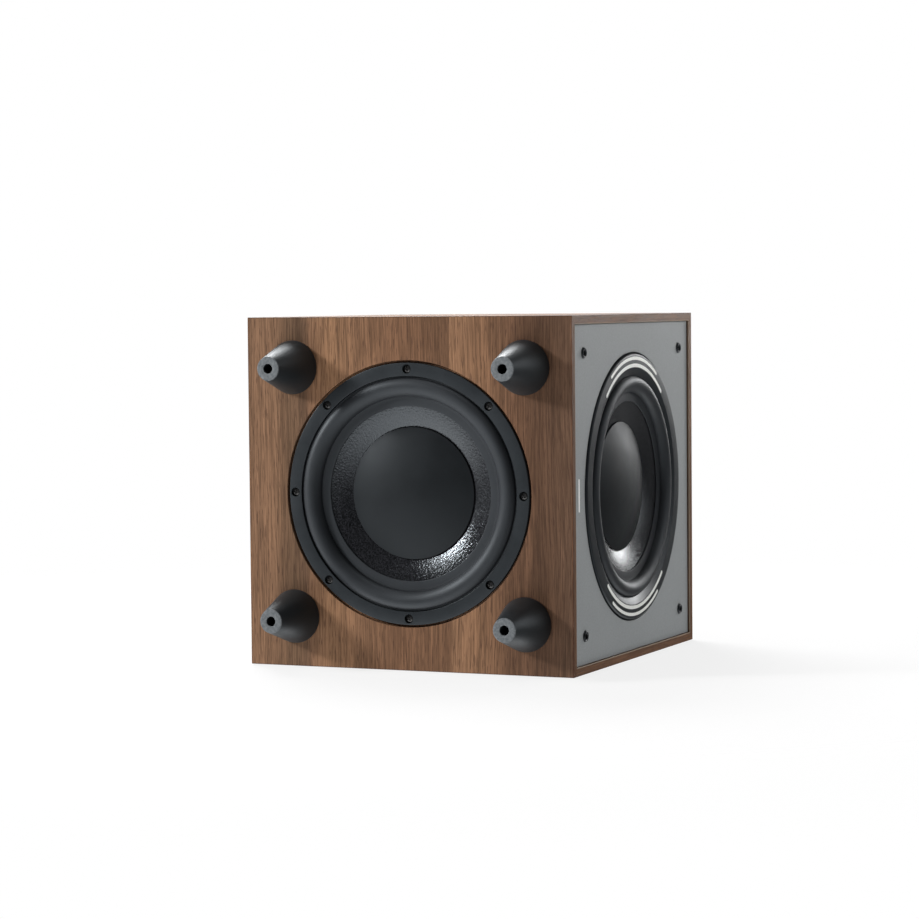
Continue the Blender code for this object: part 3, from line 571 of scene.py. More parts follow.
def plate(outline, low, high):
    """A flat outline of (x, y) points in metres, extruded along Z from low to high."""
    bm = bmesh.new()
    face = bm.faces.new([bm.verts.new((x, y, low)) for x, y in outline])
    out = bmesh.ops.extrude_face_region(bm, geom=[face])
    moved = [item for item in out["geom"] if isinstance(item, bmesh.types.BMVert)]
    bmesh.ops.translate(bm, vec=(0, 0, high - low), verts=moved)
    bmesh.ops.recalc_face_normals(bm, faces=bm.faces)
    return bm


def round_rectangle(half_x, half_y, radius, steps=5):
    """The outline of a rectangle with round corners."""
    points = []
    for corner in range(4):
        middle_turn = math.pi / 4 + corner * math.pi / 2
        centre_x = math.copysign(half_x - radius, math.cos(middle_turn))
        centre_y = math.copysign(half_y - radius, math.sin(middle_turn))
        for i in range(steps + 1):
            turn = corner * math.pi / 2 + math.pi / 2 * i / steps
            points.append((centre_x + radius * math.cos(turn), centre_y + radius * math.sin(turn)))
    return points


def arc_band(inner, outer, half_angle, steps=40, end_steps=8):
    """The outline of part of a ring about +X with round ends, from millimetres to metres."""
    middle = (inner + outer) / 2 * MM
    half = (outer - inner) / 2 * MM
    points = []
    for side, radius in ((1, outer * MM), (-1, inner * MM)):
        for i in range(steps + 1):
            turn = side * half_angle * (2 * i / steps - 1)
            points.append((radius * math.cos(turn), radius * math.sin(turn)))
        end = side * half_angle
        for i in range(1, end_steps):
            bend = math.pi * i / end_steps
            out = middle + side * half * math.cos(bend)
            past = side * half * math.sin(bend)
            points.append(
                (
                    out * math.cos(end) - past * math.sin(end),
                    out * math.sin(end) + past * math.cos(end),
                )
            )
    return points


def mesh_of(name, bm, finish):
    mesh = bpy.data.meshes.new(name)
    bm.to_mesh(mesh)
    bm.free()
    mesh.shade_smooth()
    mesh.set_sharp_from_angle(angle=SHARP)
    mesh.materials.append(finish)
    return mesh


def piece(name, bm, finish, place=None, cutters=(), bevel=0.0, body="cabinet", node=""):
    """A shown piece in the row frame: its shape with its edges eased, less the cutters."""
    if bevel:
        ease(bm, bevel)
    if place:
        bmesh.ops.transform(bm, matrix=place, verts=bm.verts)
    made = bpy.data.objects.new(name, mesh_of(name, bm, finish))
    bpy.context.scene.collection.objects.link(made)
    if cutters:
        carve(made, cutters)
    if bevel:
        keep_faces_flat(made)
    if body:
        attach(made, body)
    if node:
        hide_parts(node)
    return made


def carve(target, cutters):
    """Cuts each (bmesh, place) out of the target, and keeps the result as its mesh."""
    finish = target.data.materials[0]
    helpers = []
    for bm, place in cutters:
        bmesh.ops.transform(bm, matrix=place, verts=bm.verts)
        helper = bpy.data.objects.new("cutter", mesh_of("cutter", bm, finish))
        bpy.context.scene.collection.objects.link(helper)
        modifier = target.modifiers.new("cut", "BOOLEAN")
        modifier.operation = "DIFFERENCE"
        modifier.object = helper
        modifier.solver = "EXACT"
        helpers.append(helper)
    graph = bpy.context.evaluated_depsgraph_get()
    mesh = bpy.data.meshes.new_from_object(target.evaluated_get(graph))
    target.modifiers.clear()
    mesh.shade_smooth()
    mesh.set_sharp_from_angle(angle=SHARP)
    target.data = mesh
    for helper in helpers:
        bpy.data.objects.remove(helper)


def ease(bm, width):
    """Rounds the sharp edges a little, so that they catch the light."""
    sharp = [edge for edge in bm.edges if edge.is_manifold and edge.calc_face_angle() > SHARP]
    bmesh.ops.bevel(bm, geom=sharp, offset=width, segments=2, profile=0.5, affect="EDGES")


def ease_kept(target, width):
    """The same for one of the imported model's own solids, whose mesh isn't touched."""
    modifier = target.modifiers.new("eased_edges", "BEVEL")
    modifier.width = width
    modifier.segments = 2
    modifier.limit_method = "ANGLE"
    modifier.angle_limit = SHARP
    keep_faces_flat(target)


def keep_faces_flat(target):
    """Leaves the shading of an eased edge to the edge alone."""
    flat = target.modifiers.new("flat_faces", "WEIGHTED_NORMAL")
    flat.keep_sharp = True


def round_the_circle(radius, count):
    """Places evenly round a circle in millimetres, each turned to face outwards."""
    out = Matrix.Translation((radius * MM, 0, 0))
    return [Matrix.Rotation(math.tau * i / count, 4, "Z") @ out for i in range(count)]


def cross_cutter(half_length, half_width, top, bottom):
    """The two bars of a cross recess, in millimetres."""
    shapes = []
    for half_x, half_y in ((half_length, half_width), (half_width, half_length)):
        low = (-half_x * MM, -half_y * MM, bottom * MM)
        shapes.append(block(low, (half_x * MM, half_y * MM, top * MM)))
    return shapes


# Cabinet


# Name, quarter turns from the bottom, finish
PANELS = (
    ("bottom", 0, "walnut_x"),
    ("left", 1, "walnut_z"),
    ("top", 2, "walnut_x"),
    ("right", 3, "walnut_z"),
)
LEVELS = ("lower", "upper")
SIDES = ("left", "right")
MITRE_GAP = 0.00003


def wall_mesh():
    """The lower of the four mitred walls about the cabinet's middle, rebated front and back."""
    front_shelf = BAFFLE_BACK + GAP
    back_shelf = BACK_INNER - GAP
    profile = [
        (FRONT_Y, 0), (-FRONT_Y, 0), (-FRONT_Y, LIP), (back_shelf, LIP), (back_shelf, WALL),
        (front_shelf, WALL), (front_shelf, LIP), (FRONT_Y, LIP),
    ]
    bm = bmesh.new()
    ends = []
    for side in (-1, 1):
        end = []
        for y, depth in profile:
            end.append(bm.verts.new((side * (HALF - depth - MITRE_GAP), y, -HALF + depth)))
        ends.append(end)
        bm.faces.new(end)
    for i in range(len(profile)):
        j = (i + 1) % len(profile)
        bm.faces.new((ends[0][i], ends[0][j], ends[1][j], ends[1][i]))
    bmesh.ops.recalc_face_normals(bm, faces=bm.faces)
    return bm


def driver_opening(recess_radius, recess_depth):
    """The stepped hole that a driver's flange sits in, cut right through a wall."""
    outline = [
        (0, 1), (recess_radius + 0.3, 1), (recess_radius + 0.3, 0), (recess_radius, -0.3),
        (recess_radius, -recess_depth), (DRIVER_HOLE, -recess_depth), (DRIVER_HOLE, -17), (0, -17),
    ]
    return turned(outline)


SOCKETS = [f"grille_socket_{level}_{side}" for level in LEVELS for side in SIDES]


def make_cabinet(finish):
    for side, quarter, veneer in PANELS:
        turn = Matrix.Rotation(quarter * math.pi / 2, 4, "Y")
        place = Matrix.Translation((0, 0, CENTRE_Z)) @ turn
        cutters = [(driver_opening(FLANGE_RADIUS + 0.5, 4.0), UNDER)] if side == "bottom" else []
        piece(
            f"{side}_wall", wall_mesh(), finish[veneer], place, cutters, bevel=0.00025,
            node=f"{side}_panel",
        )

    socket_hole = [(0, 1), (4.75, 1), (4.75, -12), (0, -12)]
    cutters = [(driver_opening(TRIM_RADIUS + 1.4, 4.5), FRONT)]
    for node in SOCKETS:
        cutters.append((turned(socket_hole, SMALL_STEPS), on_front(node)))
    half = BAFFLE_HALF + 0.0007
    low = (-half, FRONT_FACE, CENTRE_Z - half)
    high = (half, BAFFLE_BACK, CENTRE_Z + half)
    piece(
        "baffle_board", block(low, high), finish["baffle"], cutters=cutters, bevel=0.0003,
        node="front_baffle",
    )


def make_sockets(finish):
    """A rubber cup for each of the grille's pegs, with a rolled rim."""
    outline = [
        (0, -8.5), (2.4, -8.5), (2.4, 0.6, 0.4), (3.2, 1.7, 0.5), (4.0, 1.7, 0.6), (4.6, 0.1),
        (4.6, -11.4), (0, -11.4),
    ]
    for node in SOCKETS:
        piece(
            node.removeprefix("grille_"), turned(outline, SMALL_STEPS), finish["socket"],
            on_front(node), node=node,
        )


def make_front_mark(finish):
    """A plain printed dash, where a maker would print a name."""
    half_x, half_z = 0.0135, 0.0012
    z = UNDER_Z + 0.0190
    place = Matrix.Translation((0, FRONT_FACE, z)) @ Matrix.Rotation(math.pi / 2, 4, "X")
    outline = round_rectangle(half_x, half_z, half_z * 0.98)
    piece("front_mark", plate(outline, *INK), finish["print"], place)


# Drivers


def roll_points(outer_radius, steps=26):
    """The rubber half roll with its landing and its two glued lips, as one closed outline."""
    centre = (outer_radius + ROLL_INNER) / 2
    half_width = (outer_radius - ROLL_INNER) / 2
    middle = (ROLL_OUTER_HEIGHT + ROLL_INNER_HEIGHT) / 2
    slant = (ROLL_OUTER_HEIGHT - ROLL_INNER_HEIGHT) / 2
    thick = 0.8

    def arc(width, drop):
        turns = [math.pi * i / steps for i in range(steps + 1)]
        return [
            (
                centre + width * math.cos(turn),
                middle - drop + slant * math.cos(turn) + ROLL_BULGE * math.sin(turn),
            )
            for turn in turns
        ]

    lip = 96.2
    landing = [
        (77.6, ROLL_INNER_HEIGHT - 0.25, 0.8), (LANDING_RADIUS + 0.2, LANDING_HEIGHT, 0.35),
        (LANDING_RADIUS, LANDING_HEIGHT - thick),
    ]
    top = [(lip, ROLL_OUTER_HEIGHT)] + arc(half_width, 0) + landing
    under = arc(half_width - thick, thick)[::-1] + [(lip, ROLL_OUTER_HEIGHT - thick)]
    return top + under


def hinge_radially(obj, mover, axis_place, inner, outer):
    """Bends a ring between the cabinet and a mover, by how far each point is from the axis."""
    start = axis_place @ Vector((outer * MM, 0, 0))
    end = axis_place @ Vector((inner * MM, 0, 0))
    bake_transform(obj, "cabinet", mover, start=start, end=end)
    to_axis = axis_place.inverted()
    weights = obj.data.attributes["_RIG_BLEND"].data
    for vertex in obj.data.vertices:
        local = to_axis @ vertex.co
        share = (outer - math.hypot(local.x, local.y) / MM) / (outer - inner)
        share = max(0.0, min(1.0, share))
        weights[vertex.index].value = share * share * (3 - 2 * share)


def make_soft_ring(name, bm, finish, place, mover, inner, outer, node):
    """A surround or a spider, which stretches as the cone travels."""
    made = piece(name, bm, finish, place, body="", node=node)
    hinge_radially(made, mover, place, inner, outer)


def cone_outline(neck_radius, neck_height):
    """The glued rim, the slope down past the dust cap, and the neck, both faces."""
    thick = 1.2
    rim = LANDING_HEIGHT - 1.1
    front = [
        (CONE_RADIUS, rim + 0.3), (LANDING_RADIUS, rim), (CAP_RADIUS + 0.3, CAP_EDGE_HEIGHT - 1.1),
        (neck_radius, neck_height),
    ]
    return front + [(radius, height - thick) for radius, height in front[::-1]]


def cap_points(steps=22):
    """A shallow dome with a rolled rim."""
    top = []
    for i in range(steps + 1):
        share = i / steps * 0.985
        top.append((CAP_RADIUS * share, CAP_EDGE_HEIGHT + CAP_RISE * (1 - share**2)))
    rim = [(CAP_RADIUS, CAP_EDGE_HEIGHT + 0.05, 0.3), (CAP_RADIUS, CAP_EDGE_HEIGHT - 0.75, 0.2)]
    under = [(radius - 0.4, height - 0.8) for radius, height in top[::-1] if radius > 0.4]
    return top + rim + under + [(0, CAP_EDGE_HEIGHT + CAP_RISE - 0.8)]


def spider_points(inner, outer, shelf_height, waves):
    """The corrugated disc that centres the moving parts, glued at its outer lip."""
    thick = 0.8
    middle = shelf_height + 0.3 + thick / 2
    steps = waves * 16
    run = [(outer + 7.0, 0.0)]
    for i in range(steps + 1):
        share = i / steps
        lift = -2.0 * math.sin(math.tau * waves * share)
        run.append((outer + (inner - outer) * share, lift))
    top = [(radius, middle + lift + thick / 2) for radius, lift in run]
    under = [(radius, middle + lift - thick / 2) for radius, lift in run[::-1]]
    return top + under


ARCS = ((106.5, 109.2, 30), (100.4, 103.4, 40))
TRIM_FACE = 1.6
ARC_DEPTH = 0.3
ARC_RISE = 0.06


def trim_outline():
    """The raised ring that hides the woofer's screws: a long bevel, a flat face and a thin edge."""
    return [
        (93.5, -2.4), (93.5, -1.2, 0.6), (ARCS[1][0] - 0.6, TRIM_FACE, 0.4),
        (TRIM_RADIUS - 0.9, TRIM_FACE, 0.3), (TRIM_RADIUS, 0.7, 0.3), (TRIM_RADIUS, -4.2),
        (FLANGE_RADIUS + 0.4, -4.2), (FLANGE_RADIUS + 0.4, -2.4),
    ]


def make_arcs(finish):
    """Two pale arcs on each side of the woofer, let into the ring."""
    base = (TRIM_FACE - ARC_DEPTH) * MM
    top = (TRIM_FACE + ARC_RISE) * MM
    for side, turn in (("right", 0.0), ("left", math.pi)):
        for number, (inner, outer, angle) in enumerate(ARCS, start=1):
            outline = arc_band(inner, outer, math.radians(angle))
            place = FRONT @ Matrix.Rotation(turn, 4, "Z")
            piece(
                f"inlay_{side}_{number}", plate(outline, base, top), finish["inlay"], place,
                bevel=0.00012,
            )


def make_woofer(finish):
    piece(
        "woofer_ring", turned(trim_outline()), finish["trim"], FRONT, node="woofer_trim_ring",
    )
    make_arcs(finish)
    make_moving_parts(finish, "woofer", FRONT, roll_outer=93.1, neck=(25.9, -27.0))
    make_soft_ring(
        "woofer_corrugated_disc", turned(spider_points(25.9, 62.3, -44.0, 4)), finish["spider"],
        FRONT, "woofer_mover", 25.9, 62.3, "woofer_spider",
    )


def make_moving_parts(finish, driver, place, roll_outer, neck):
    """A driver's surround, cone and dust cap. The neck is a radius and a height."""
    mover = f"{driver}_mover"
    make_soft_ring(
        f"{driver}_roll", turned(roll_points(roll_outer)), finish["rubber"], place, mover,
        ROLL_INNER, roll_outer, f"{driver}_surround",
    )
    piece(
        f"{driver}_cone_skin", turned(cone_outline(*neck)), finish["cone"], place, body=mover,
        node=f"{driver}_cone",
    )
    piece(
        f"{driver}_dome", turned(cap_points()), finish["cap"], place, body=mover,
        node=f"{driver}_dust_cap",
    )


def make_radiator(finish):
    ring = [
        (92.8, -3.6), (96.5, -3.6), (96.5, -0.3, 0.5), (FLANGE_RADIUS - 1.5, -0.3, 0.6),
        (FLANGE_RADIUS - 1.5, -3.7), (98.0, -3.7), (97.0, -17.0), (64.0, -40.0), (44.0, -40.0),
        (44.0, -38.0), (62.5, -38.0), (95.0, -15.7), (95.4, -5.2), (92.8, -5.2),
    ]
    counterbore = [(0, 1), (4.1, 1), (3.8, -0.3), (3.8, -3.0), (2.3, -3.0), (2.3, -5), (0, -5)]
    places = round_the_circle(SCREW_CIRCLE, 8)
    cutters = [(turned(counterbore, SMALL_STEPS), UNDER @ place) for place in places]
    window = block((66 * MM, -27 * MM, -33 * MM), (105 * MM, 27 * MM, -21 * MM))
    shape = bpy.data.meshes.new("window")
    window.to_mesh(shape)
    window.free()
    for i in range(6):
        copy = bmesh.new()
        copy.from_mesh(shape)
        cutters.append((copy, UNDER @ Matrix.Rotation(math.tau * (i + 0.5) / 6, 4, "Z")))
    piece(
        "radiator_ring", turned(ring), finish["frame"], UNDER, cutters, node="radiator_frame",
    )
    make_moving_parts(finish, "radiator", UNDER, roll_outer=95.0, neck=(25.0, -27.4))
    make_soft_ring(
        "radiator_corrugated_disc", turned(spider_points(26.4, 46.3, -38.0, 2)), finish["spider"],
        UNDER, "radiator_mover", 26.4, 46.3, "radiator_spider",
    )
    screws = random.Random(4)
    for number, place in enumerate(places, start=1):
        twist = Matrix.Rotation(screws.uniform(0, math.pi / 2), 4, "Z")
        make_screw(
            f"ring_screw_{number}", UNDER @ place @ twist, 3.4, -1.5, finish["screw"],
            f"radiator_screw_{number}",
        )


def make_screw(name, place, radius, height, finish, node="", shank=-13.0):
    """A pan-head cross-recessed screw, whose head tops out at the height."""
    outline = [
        (0, height), (radius * 0.55, height - 0.08), (radius * 0.88, height - 0.42, 0.3),
        (radius, height - 1.1, 0.3), (radius, height - 1.5), (1.8, height - 1.5), (1.8, shank),
        (0, shank),
    ]
    recess = [
        (shape, place)
        for shape in cross_cutter(radius * 0.6, radius * 0.15, height + 1, height - 1.0)
    ]
    piece(name, turned(outline, SMALL_STEPS), finish, place, recess, node=node)


# Feet


def make_feet(finish):
    height = UNDER_Z / MM - 0.3
    tip_radius = 9.75
    bore_radius = 4.0
    seat = 33.0
    outline = [
        (bore_radius, seat), (bore_radius, 0, 0.45), (tip_radius, 0, 0.55),
        (FOOT_RADIUS, height, 0.8), (FOOT_RADIUS - 2.2, height), (2.6, height), (2.6, seat),
    ]
    head = seat - 0.3
    screw = [
        (0, head - 2.6), (3.0, head - 2.6, 0.5), (3.6, head - 1.6, 0.3), (3.6, head), (2.1, head),
        (2.1, height + 11), (0, height + 11),
    ]
    for corner in ("front_left", "front_right", "rear_left", "rear_right"):
        centre = centre_of(f"foot_{corner}")
        place = Matrix.Translation((centre.x, centre.y, 0))
        piece(
            f"cone_foot_{corner}", turned(outline, FOOT_STEPS), finish["foot"], place,
            node=f"foot_{corner}",
        )
        cross = cross_cutter(2.0, 0.45, head - 1.4, head - 4)
        piece(
            f"foot_bolt_{corner}", turned(screw, SMALL_STEPS), finish["screw"], place,
            [(shape, place) for shape in cross], node=f"foot_screw_{corner}",
        )


# Back


KNOB_RIBS = 30


def knob_mesh():
    """A ribbed control knob with a pointer slot towards local -Y, at rest."""
    rings = [
        (0, 10.0, 0.0), (6.9, 10.0, 0.0), (7.5, 9.6, 0.0), (7.8, 9.0, 0.25), (8.35, 1.2, 0.25),
        (8.5, 0.7, 0.0), (8.3, 0.4, 0.0), (3.0, 0.4, 0.0), (3.0, -18.0, 0.0), (0, -18.0, 0.0),
    ]
    steps = KNOB_RIBS * 6
    bm = bmesh.new()
    loops = []
    for radius, height, rib in rings:
        if radius == 0:
            loops.append([bm.verts.new((0, 0, height * MM))] * steps)
            continue
        loop = []
        for i in range(steps):
            turn = math.tau * i / steps
            wave = rib * (math.cos(turn * KNOB_RIBS) - 1)
            size = (radius + wave) * MM
            loop.append(bm.verts.new((size * math.cos(turn), size * math.sin(turn), height * MM)))
        loops.append(loop)
    for lower, upper in zip(loops, loops[1:]):
        for i in range(steps):
            j = (i + 1) % steps
            corners = list(dict.fromkeys((lower[i], lower[j], upper[j], upper[i])))
            bm.faces.new(corners)
    bmesh.ops.recalc_face_normals(bm, faces=bm.faces)
    return bm


def make_knobs(finish):
    for node, mover in (("volume_knob", "volume_control"), ("crossover_knob", "crossover_control")):
        place = fitting_place(node)
        slot_cut = block((-0.0006, -0.0088, 0.0094), (0.0006, -0.0034, 0.0110))
        piece(
            f"{node}_ribbed", knob_mesh(), finish["knob"], place, [(slot_cut, place)], body=mover,
            node=node,
        )
        pointer = plate(round_rectangle(0.0005, 0.0026, 0.0004), 0.0094, 0.0097)
        offset = Matrix.Translation((0, -0.0061, 0))
        piece(f"{node}_pointer", pointer, finish["print"], place @ offset, body=mover)
        make_dial_ticks(node, place, finish)


def make_dial_ticks(node, place, finish):
    """Printed ticks from one end of the knob's turn to the other, longer at the ends and middle."""
    ink = bmesh.new()
    count = 10
    start = 0.0105
    half_width = 0.00018
    for i in range(count + 1):
        turn = math.radians(-150 + 300 * i / count) - math.pi / 2
        length = 0.0026 if i in (0, count // 2, count) else 0.0014
        low = (start, -half_width, INK[0])
        tick = block(low, (start + length, half_width, INK[1]))
        bmesh.ops.transform(tick, matrix=Matrix.Rotation(turn, 4, "Z"), verts=tick.verts)
        mesh = bpy.data.meshes.new("tick")
        tick.to_mesh(mesh)
        tick.free()
        ink.from_mesh(mesh)
        bpy.data.meshes.remove(mesh)
    piece(f"{node}_ticks", ink, finish["print"], place)


SWITCH_TRAVEL = 0.006


def make_switches(finish):
    """Slide switches with a ridged top, each in a printed outline."""
    for node, mover in (("phase_switch", "phase_lever"), ("mode_switch", "mode_lever")):
        low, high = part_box(node)
        ridges = []
        for offset in (-0.0010, 0.0, 0.0010):
            middle = centre_of(node).x + offset
            cut_low = (middle - 0.0002, high.y - 0.0004, low.z - 0.001)
            cut_high = (middle + 0.0002, high.y + 0.001, high.z + 0.001)
            ridges.append((block(cut_low, cut_high), Matrix.Identity(4)))
        piece(
            f"{node}_slider", block(low, high), finish["knob"], cutters=ridges, bevel=0.0002,
            body=mover, node=node,
        )
        make_slot_frame(node, finish)


def make_slot_frame(node, finish):
    """A printed line round the whole slot that a switch slides in."""
    centre = centre_of(node)
    place = on_back(centre.x + SWITCH_TRAVEL / 2, centre.z)
    line = plate(round_rectangle(0.0094, 0.0056, 0.0012), *INK)
    hole = plate(round_rectangle(0.0091, 0.0053, 0.0010), -0.001, 0.001)
    piece(f"{node}_outline", line, finish["print"], place, [(hole, place)])


def make_jacks(finish):
    barrel = [
        (1.7, -1.0), (1.7, 7.4, 0.2), (2.2, 7.6), (3.4, 7.6), (4.1, 7.4, 0.3), (4.1, 1.6),
        (6.4, 1.6, 0.4), (6.4, 0.3), (4.6, 0.3), (4.6, -8.0), (1.2, -8.0), (1.2, -1.0),
    ]
    collar = [(4.25, 1.65), (4.25, 2.7, 0.2), (5.9, 2.5, 0.3), (6.1, 1.65)]
    for node, ring in (("rca_jack_left", "white"), ("rca_jack_right", "red")):
        place = fitting_place(node)
        piece(
            f"{node}_barrel", turned(barrel, SMALL_STEPS), finish["nickel"], place, node=node,
        )
        piece(f"{node}_collar", turned(collar, SMALL_STEPS), finish[ring], place)


def make_led(finish):
    place = fitting_place("status_led")
    dome = [(0, 2.6), (0.9, 2.45), (1.7, 1.9), (2.2, 1.1), (2.35, 0.3), (2.35, -6.0), (0, -6.0)]
    piece(
        "led_dome", turned(dome, SMALL_STEPS), finish["led"], place, node="status_led",
    )
    bezel = [(2.45, 0.1), (2.45, 0.7, 0.2), (3.4, 0.5, 0.3), (3.7, 0.1)]
    piece("led_bezel", turned(bezel, SMALL_STEPS), finish["gloss_black"], place)


def make_inlet(finish):
    """The mains inlet, with its corners cut as on the real connector, and its three pins."""
    place = fitting_place("mains_inlet")
    back, face = (corner.y - PLATE_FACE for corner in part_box("mains_inlet"))
    half = half_of("mains_inlet")
    shoulder = 0.0025
    depth = (-0.0145, 0.0100)
    socket = [
        (-0.0120, 0.0083), (0.0120, 0.0083), (0.0120, -0.0083 + shoulder),
        (0.0120 - shoulder, -0.0083), (-0.0120 + shoulder, -0.0083), (-0.0120, -0.0083 + shoulder),
    ]
    opening = (plate(socket, *depth), place)
    piece(
        "inlet_flange", plate(round_rectangle(half.x, half.z, 0.002), GAP, face),
        finish["gloss_black"], place, [opening], bevel=0.0003, node="mains_inlet",
    )
    body = plate(round_rectangle(0.0135, 0.0100, 0.001), back, GAP)
    opening = (plate(socket, *depth), place)
    piece("inlet_body", body, finish["gloss_black"], place, [opening])
    pins = ((-0.0070, -0.0020), (0.0, 0.0020), (0.0070, -0.0020))
    for number, (x, z) in enumerate(pins, start=1):
        pin = plate(round_rectangle(0.0010, 0.0020, 0.0006), -0.0148, -0.0050)
        offset = Matrix.Translation((x, -z, 0))
        piece(f"inlet_pin_{number}", pin, finish["nickel"], place @ offset, bevel=0.0002)


def make_rocker(finish):
    place = fitting_place("rocker_frame")
    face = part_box("rocker_frame")[1].y - PLATE_FACE
    half = half_of("rocker_frame")
    hollow = block((-0.0052, -0.0082, -0.0105), (0.0052, 0.0082, 0.0050))
    piece(
        "rocker_bezel", plate(round_rectangle(half.x, half.z, 0.0012), GAP, face),
        finish["gloss_black"], place, [(hollow, place)], bevel=0.0003, node="rocker_frame",
    )
    sleeve = block((-0.0060, -0.0090, -0.0120), (0.0060, 0.0090, GAP))
    hollow = block((-0.0052, -0.0082, -0.0105), (0.0052, 0.0082, 0.0050))
    piece("rocker_sleeve", sleeve, finish["gloss_black"], place, [(hollow, place)])
    tilt = Matrix.Rotation(math.radians(8), 4, "X")
    reach = 0.0076
    profile = [(-0.0026, -reach)]
    steps = 12
    for i in range(steps + 1):
        share = 2 * i / steps - 1
        profile.append((0.0020 + 0.0012 * share**2, reach * share))
    profile += [(-0.0026, reach), (-0.0040, 0.0)]
    on_side = Matrix(((0, 0, 1, 0), (1, 0, 0, 0), (0, 1, 0, 0), (0, 0, 0, 1)))
    centre = centre_of("rocker_frame")
    at_pivot = Matrix.Translation((centre.x, PLATE_FACE, centre.z))
    piece(
        "rocker_key", plate(profile, -0.0049, 0.0049), finish["gloss_black"],
        at_pivot @ tilt @ on_side, bevel=0.0003, body="mains_rocker", node="power_rocker",
    )


def make_plate_screws(finish):
    """Ten screws round the amplifier panel."""
    inset = 0.006
    edge_x = PLATE_HALF_X - inset
    edge_z = PLATE_HALF_Z - inset
    spots = [(side * edge_x, level * edge_z) for side in (-1, 1) for level in (-1, -0.33, 0.33, 1)]
    spots += [(0.0, level * edge_z) for level in (-1, 1)]
    turns = random.Random(9)
    for number, (x, z) in enumerate(spots, start=1):
        twist = Matrix.Rotation(turns.uniform(0, math.pi / 2), 4, "Z")
        place = on_back(x, CENTRE_Z + z) @ twist
        make_screw(f"plate_screw_{number}", place, 3.3, 1.5, finish["screw"], shank=-4.0)


# Inside


def make_damping(finish):
    """Wool pads on the side walls: thick in the middle, pinched along their edges."""
    lumps = random.Random(12)
    for side in SIDES:
        node = f"damping_pad_{side}"
        middle = centre_of(node)
        half = half_of(node)
        wall_side = math.copysign(1, middle.x)
        bm = bmesh.new()
        bmesh.ops.create_cube(bm, size=2)
        bmesh.ops.subdivide_edges(bm, edges=bm.edges, cuts=14, use_grid_fill=True)
        for vertex in bm.verts:
            pinch_y = 1 - abs(vertex.co.y) ** 6
            pinch_z = 1 - abs(vertex.co.z) ** 6
            thickness = 0.42 + 0.52 * min(pinch_y, pinch_z) ** 0.5 - lumps.uniform(0, 0.05)
            depth = 0.97 - (1 - vertex.co.x * wall_side) * thickness
            place = Vector((wall_side * depth, vertex.co.y * 0.98, vertex.co.z * 0.98))
            vertex.co = middle + place * half
        pad = piece(f"wool_pad_{side}", bm, finish["felt"], node=node)


KEPT = {
    "back_panel": ("back", 0.0004),
    "amp_plate": ("plate", 0.0004),
    "amp_heatsink": ("anodised", 0.0003),
    "brace": ("board", 0.0004),
    "amp_board": ("circuit", 0.0002),
    "transformer": ("tape", 0.0),
    "woofer_basket": ("basket", 0.0),
    "woofer_voice_coil": ("copper", 0.0),
    "woofer_top_plate": ("zinc", 0.0003),
    "woofer_magnet": ("ferrite", 0.0008),
    "woofer_yoke": ("zinc", 0.0003),
    "radiator_weight": ("zinc", 0.0003),
    "speaker_lead": ("lead", 0.0),
}


def finish_kept_nodes(finish):
    """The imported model's own solids that stay, each with its finish and eased edges."""
    for node, (name, bevel) in KEPT.items():
        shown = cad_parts[node]
        shown.data.materials.clear()
        shown.data.materials.append(finish[name])
        if bevel:
            ease_kept(shown, bevel)


# Studio


def one_sided_floor(name, centre, normal, fade, shade, glow):
    """A pale sheet, seen only from its front, that fades into the white beyond it."""
    bm = bmesh.new()
    bmesh.ops.create_grid(bm, x_segments=1, y_segments=1, size=2)
    turn = Vector((0, 0, 1)).rotation_difference(Vector(normal)).to_matrix().to_4x4()
    material = bpy.data.materials.new(name)
    n = Nodes(material)
    n.tree.nodes.clear()
    diffuse = n.node("ShaderNodeBsdfDiffuse", {"Color": (shade, shade, shade, 1)}).outputs[0]
    shine = n.node("ShaderNodeEmission", {"Strength": glow}).outputs[0]
    both = n.node("ShaderNodeAddShader", {0: diffuse, 1: shine}).outputs[0]
    clear = n.node("ShaderNodeBsdfTransparent").outputs[0]
    place = n.node("ShaderNodeTexCoord").outputs["Object"]
    distance = n.node("ShaderNodeVectorMath", {0: place}, operation="LENGTH").outputs["Value"]
    outer = n.fit(distance, *fade, how="SMOOTHSTEP")
    behind = n.node("ShaderNodeNewGeometry").outputs["Backfacing"]
    hidden = n.math("MAXIMUM", outer, behind)
    blend = n.node("ShaderNodeMixShader", {0: hidden, 1: both, 2: clear}).outputs[0]
    n.node("ShaderNodeOutputMaterial", {0: blend})
    floor = bpy.data.objects.new(name, mesh_of(name, bm, material))
    floor.matrix_world = Matrix.Translation(centre) @ turn
    bpy.context.scene.collection.objects.link(floor)
    for ray in ("diffuse", "glossy", "transmission", "volume_scatter", "shadow"):
        setattr(floor, f"visible_{ray}", False)


ROOM = 0.12
FLOOR_BOUNCE = 3.2
BACKDROP = 1.5


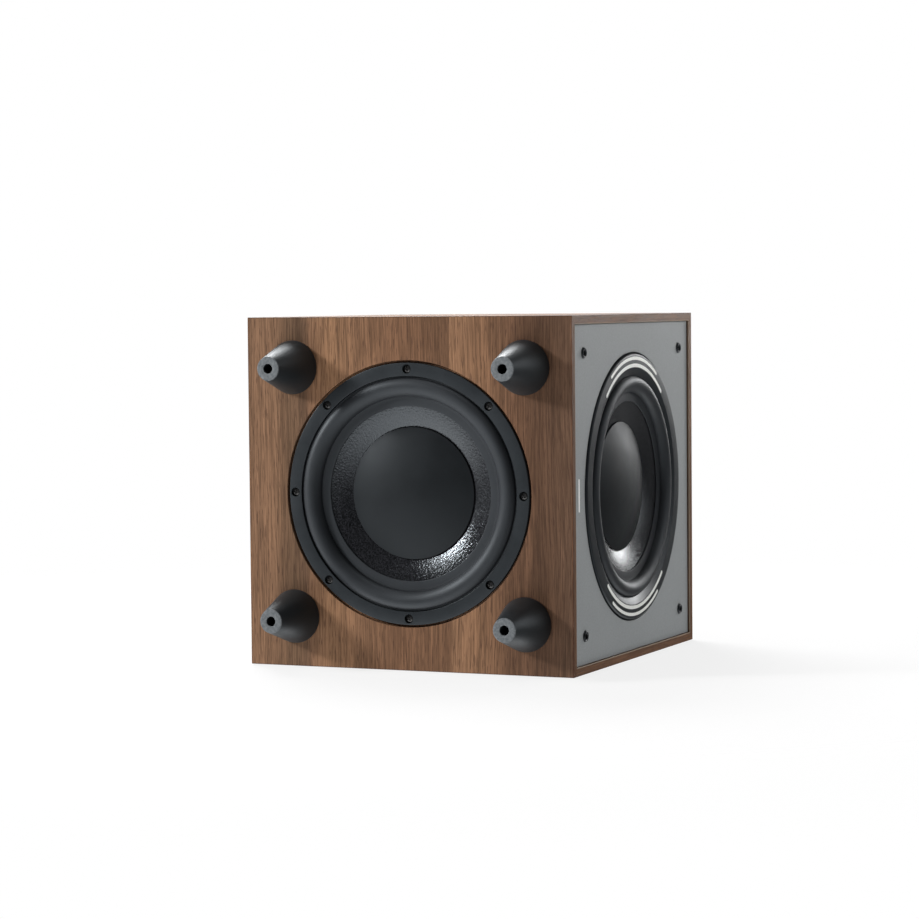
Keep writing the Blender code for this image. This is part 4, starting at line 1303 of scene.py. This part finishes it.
def make_world():
    """White to the camera. To the rest a dim room with a bright floor at +X and backdrop at +Z."""
    world = bpy.data.worlds.new("studio")
    bpy.context.scene.world = world
    n = Nodes(world)
    n.tree.nodes.clear()

    def rise(value, low, high, start, end):
        return n.fit(value, low, high, start, end, how="SMOOTHSTEP")

    def white(strength):
        inputs = {"Color": (1, 1, 1, 1), "Strength": strength}
        return n.node("ShaderNodeBackground", inputs).outputs[0]

    direction = n.node("ShaderNodeTexCoord").outputs["Generated"]
    x, y, z = n.node("ShaderNodeSeparateXYZ", {0: direction}).outputs
    floor = n.math("MULTIPLY", rise(x, 0.05, 0.5, 0, FLOOR_BOUNCE), rise(z, -0.2, 0.4, 1, 0.15))
    floor = n.math("MULTIPLY", floor, rise(y, -0.4, 0.2, 0.3, 1))
    backdrop = n.math("MULTIPLY", rise(z, 0.5, 0.8, 0, BACKDROP), rise(y, 0, 0.3, 0, 1))
    light = white(n.math("ADD", n.math("ADD", floor, backdrop), ROOM))
    from_camera = n.node("ShaderNodeLightPath").outputs["Is Camera Ray"]
    mix = n.node("ShaderNodeMixShader", {0: from_camera, 1: light, 2: white(1.0)}).outputs[0]
    n.node("ShaderNodeOutputWorld", {0: mix})


# Name, direction from the object, distance, size and power of each soft light
LIGHTS = (
    ("key_left", (-0.46, 0.79, -0.40), 3.2, 1.1, 62.0),
    ("key_core", (-0.38, 0.77, -0.51), 3.0, 0.4, 64.0),
    ("overhead", (-0.97, 0.05, -0.20), 2.0, 1.4, 14.0),
    ("top_rear", (-0.78, 0.44, 0.44), 2.2, 1.3, 82.0),
    ("rear_right", (-0.25, -0.33, 0.91), 2.2, 0.8, 18.5),
    ("front_fill", (-0.40, -0.86, 0.31), 2.2, 1.6, 15.0),
    ("side_fill", (0.85, -0.30, 0.42), 2.2, 1.4, 12.0),
)


def make_lights():
    centre = Vector((0, 0, CENTRE_Z))
    for name, direction, distance, size, power in LIGHTS:
        data = bpy.data.lights.new(name, "AREA")
        data.shape = "DISK"
        data.size = size
        data.energy = power
        light = bpy.data.objects.new(name, data)
        outward = Vector(direction).normalized()
        light.location = centre + outward * distance
        light.rotation_euler = outward.to_track_quat("Z", "Y").to_euler()
        light.visible_camera = False
        bpy.context.scene.collection.objects.link(light)


def make_studio():
    bpy.context.scene.view_settings.view_transform = "Standard"
    make_world()
    make_lights()
    side = HALF + 0.0006
    one_sided_floor("side_floor", (side, 0, CENTRE_Z), (-1, 0, 0), (0.45, 0.95), 0.11, 0.80)
    one_sided_floor("standing_floor", (0, 0, -0.0002), (0, 0, 1), (0.45, 0.95), 0.22, 0.82)


def main():
    make_camera()
    make_studio()
    finish = make_finishes()
    make_cabinet(finish)
    make_sockets(finish)
    make_front_mark(finish)
    make_woofer(finish)
    make_radiator(finish)
    make_feet(finish)
    make_knobs(finish)
    make_switches(finish)
    make_jacks(finish)
    make_led(finish)
    make_inlet(finish)
    make_rocker(finish)
    make_plate_screws(finish)
    make_damping(finish)
    finish_kept_nodes(finish)


main()
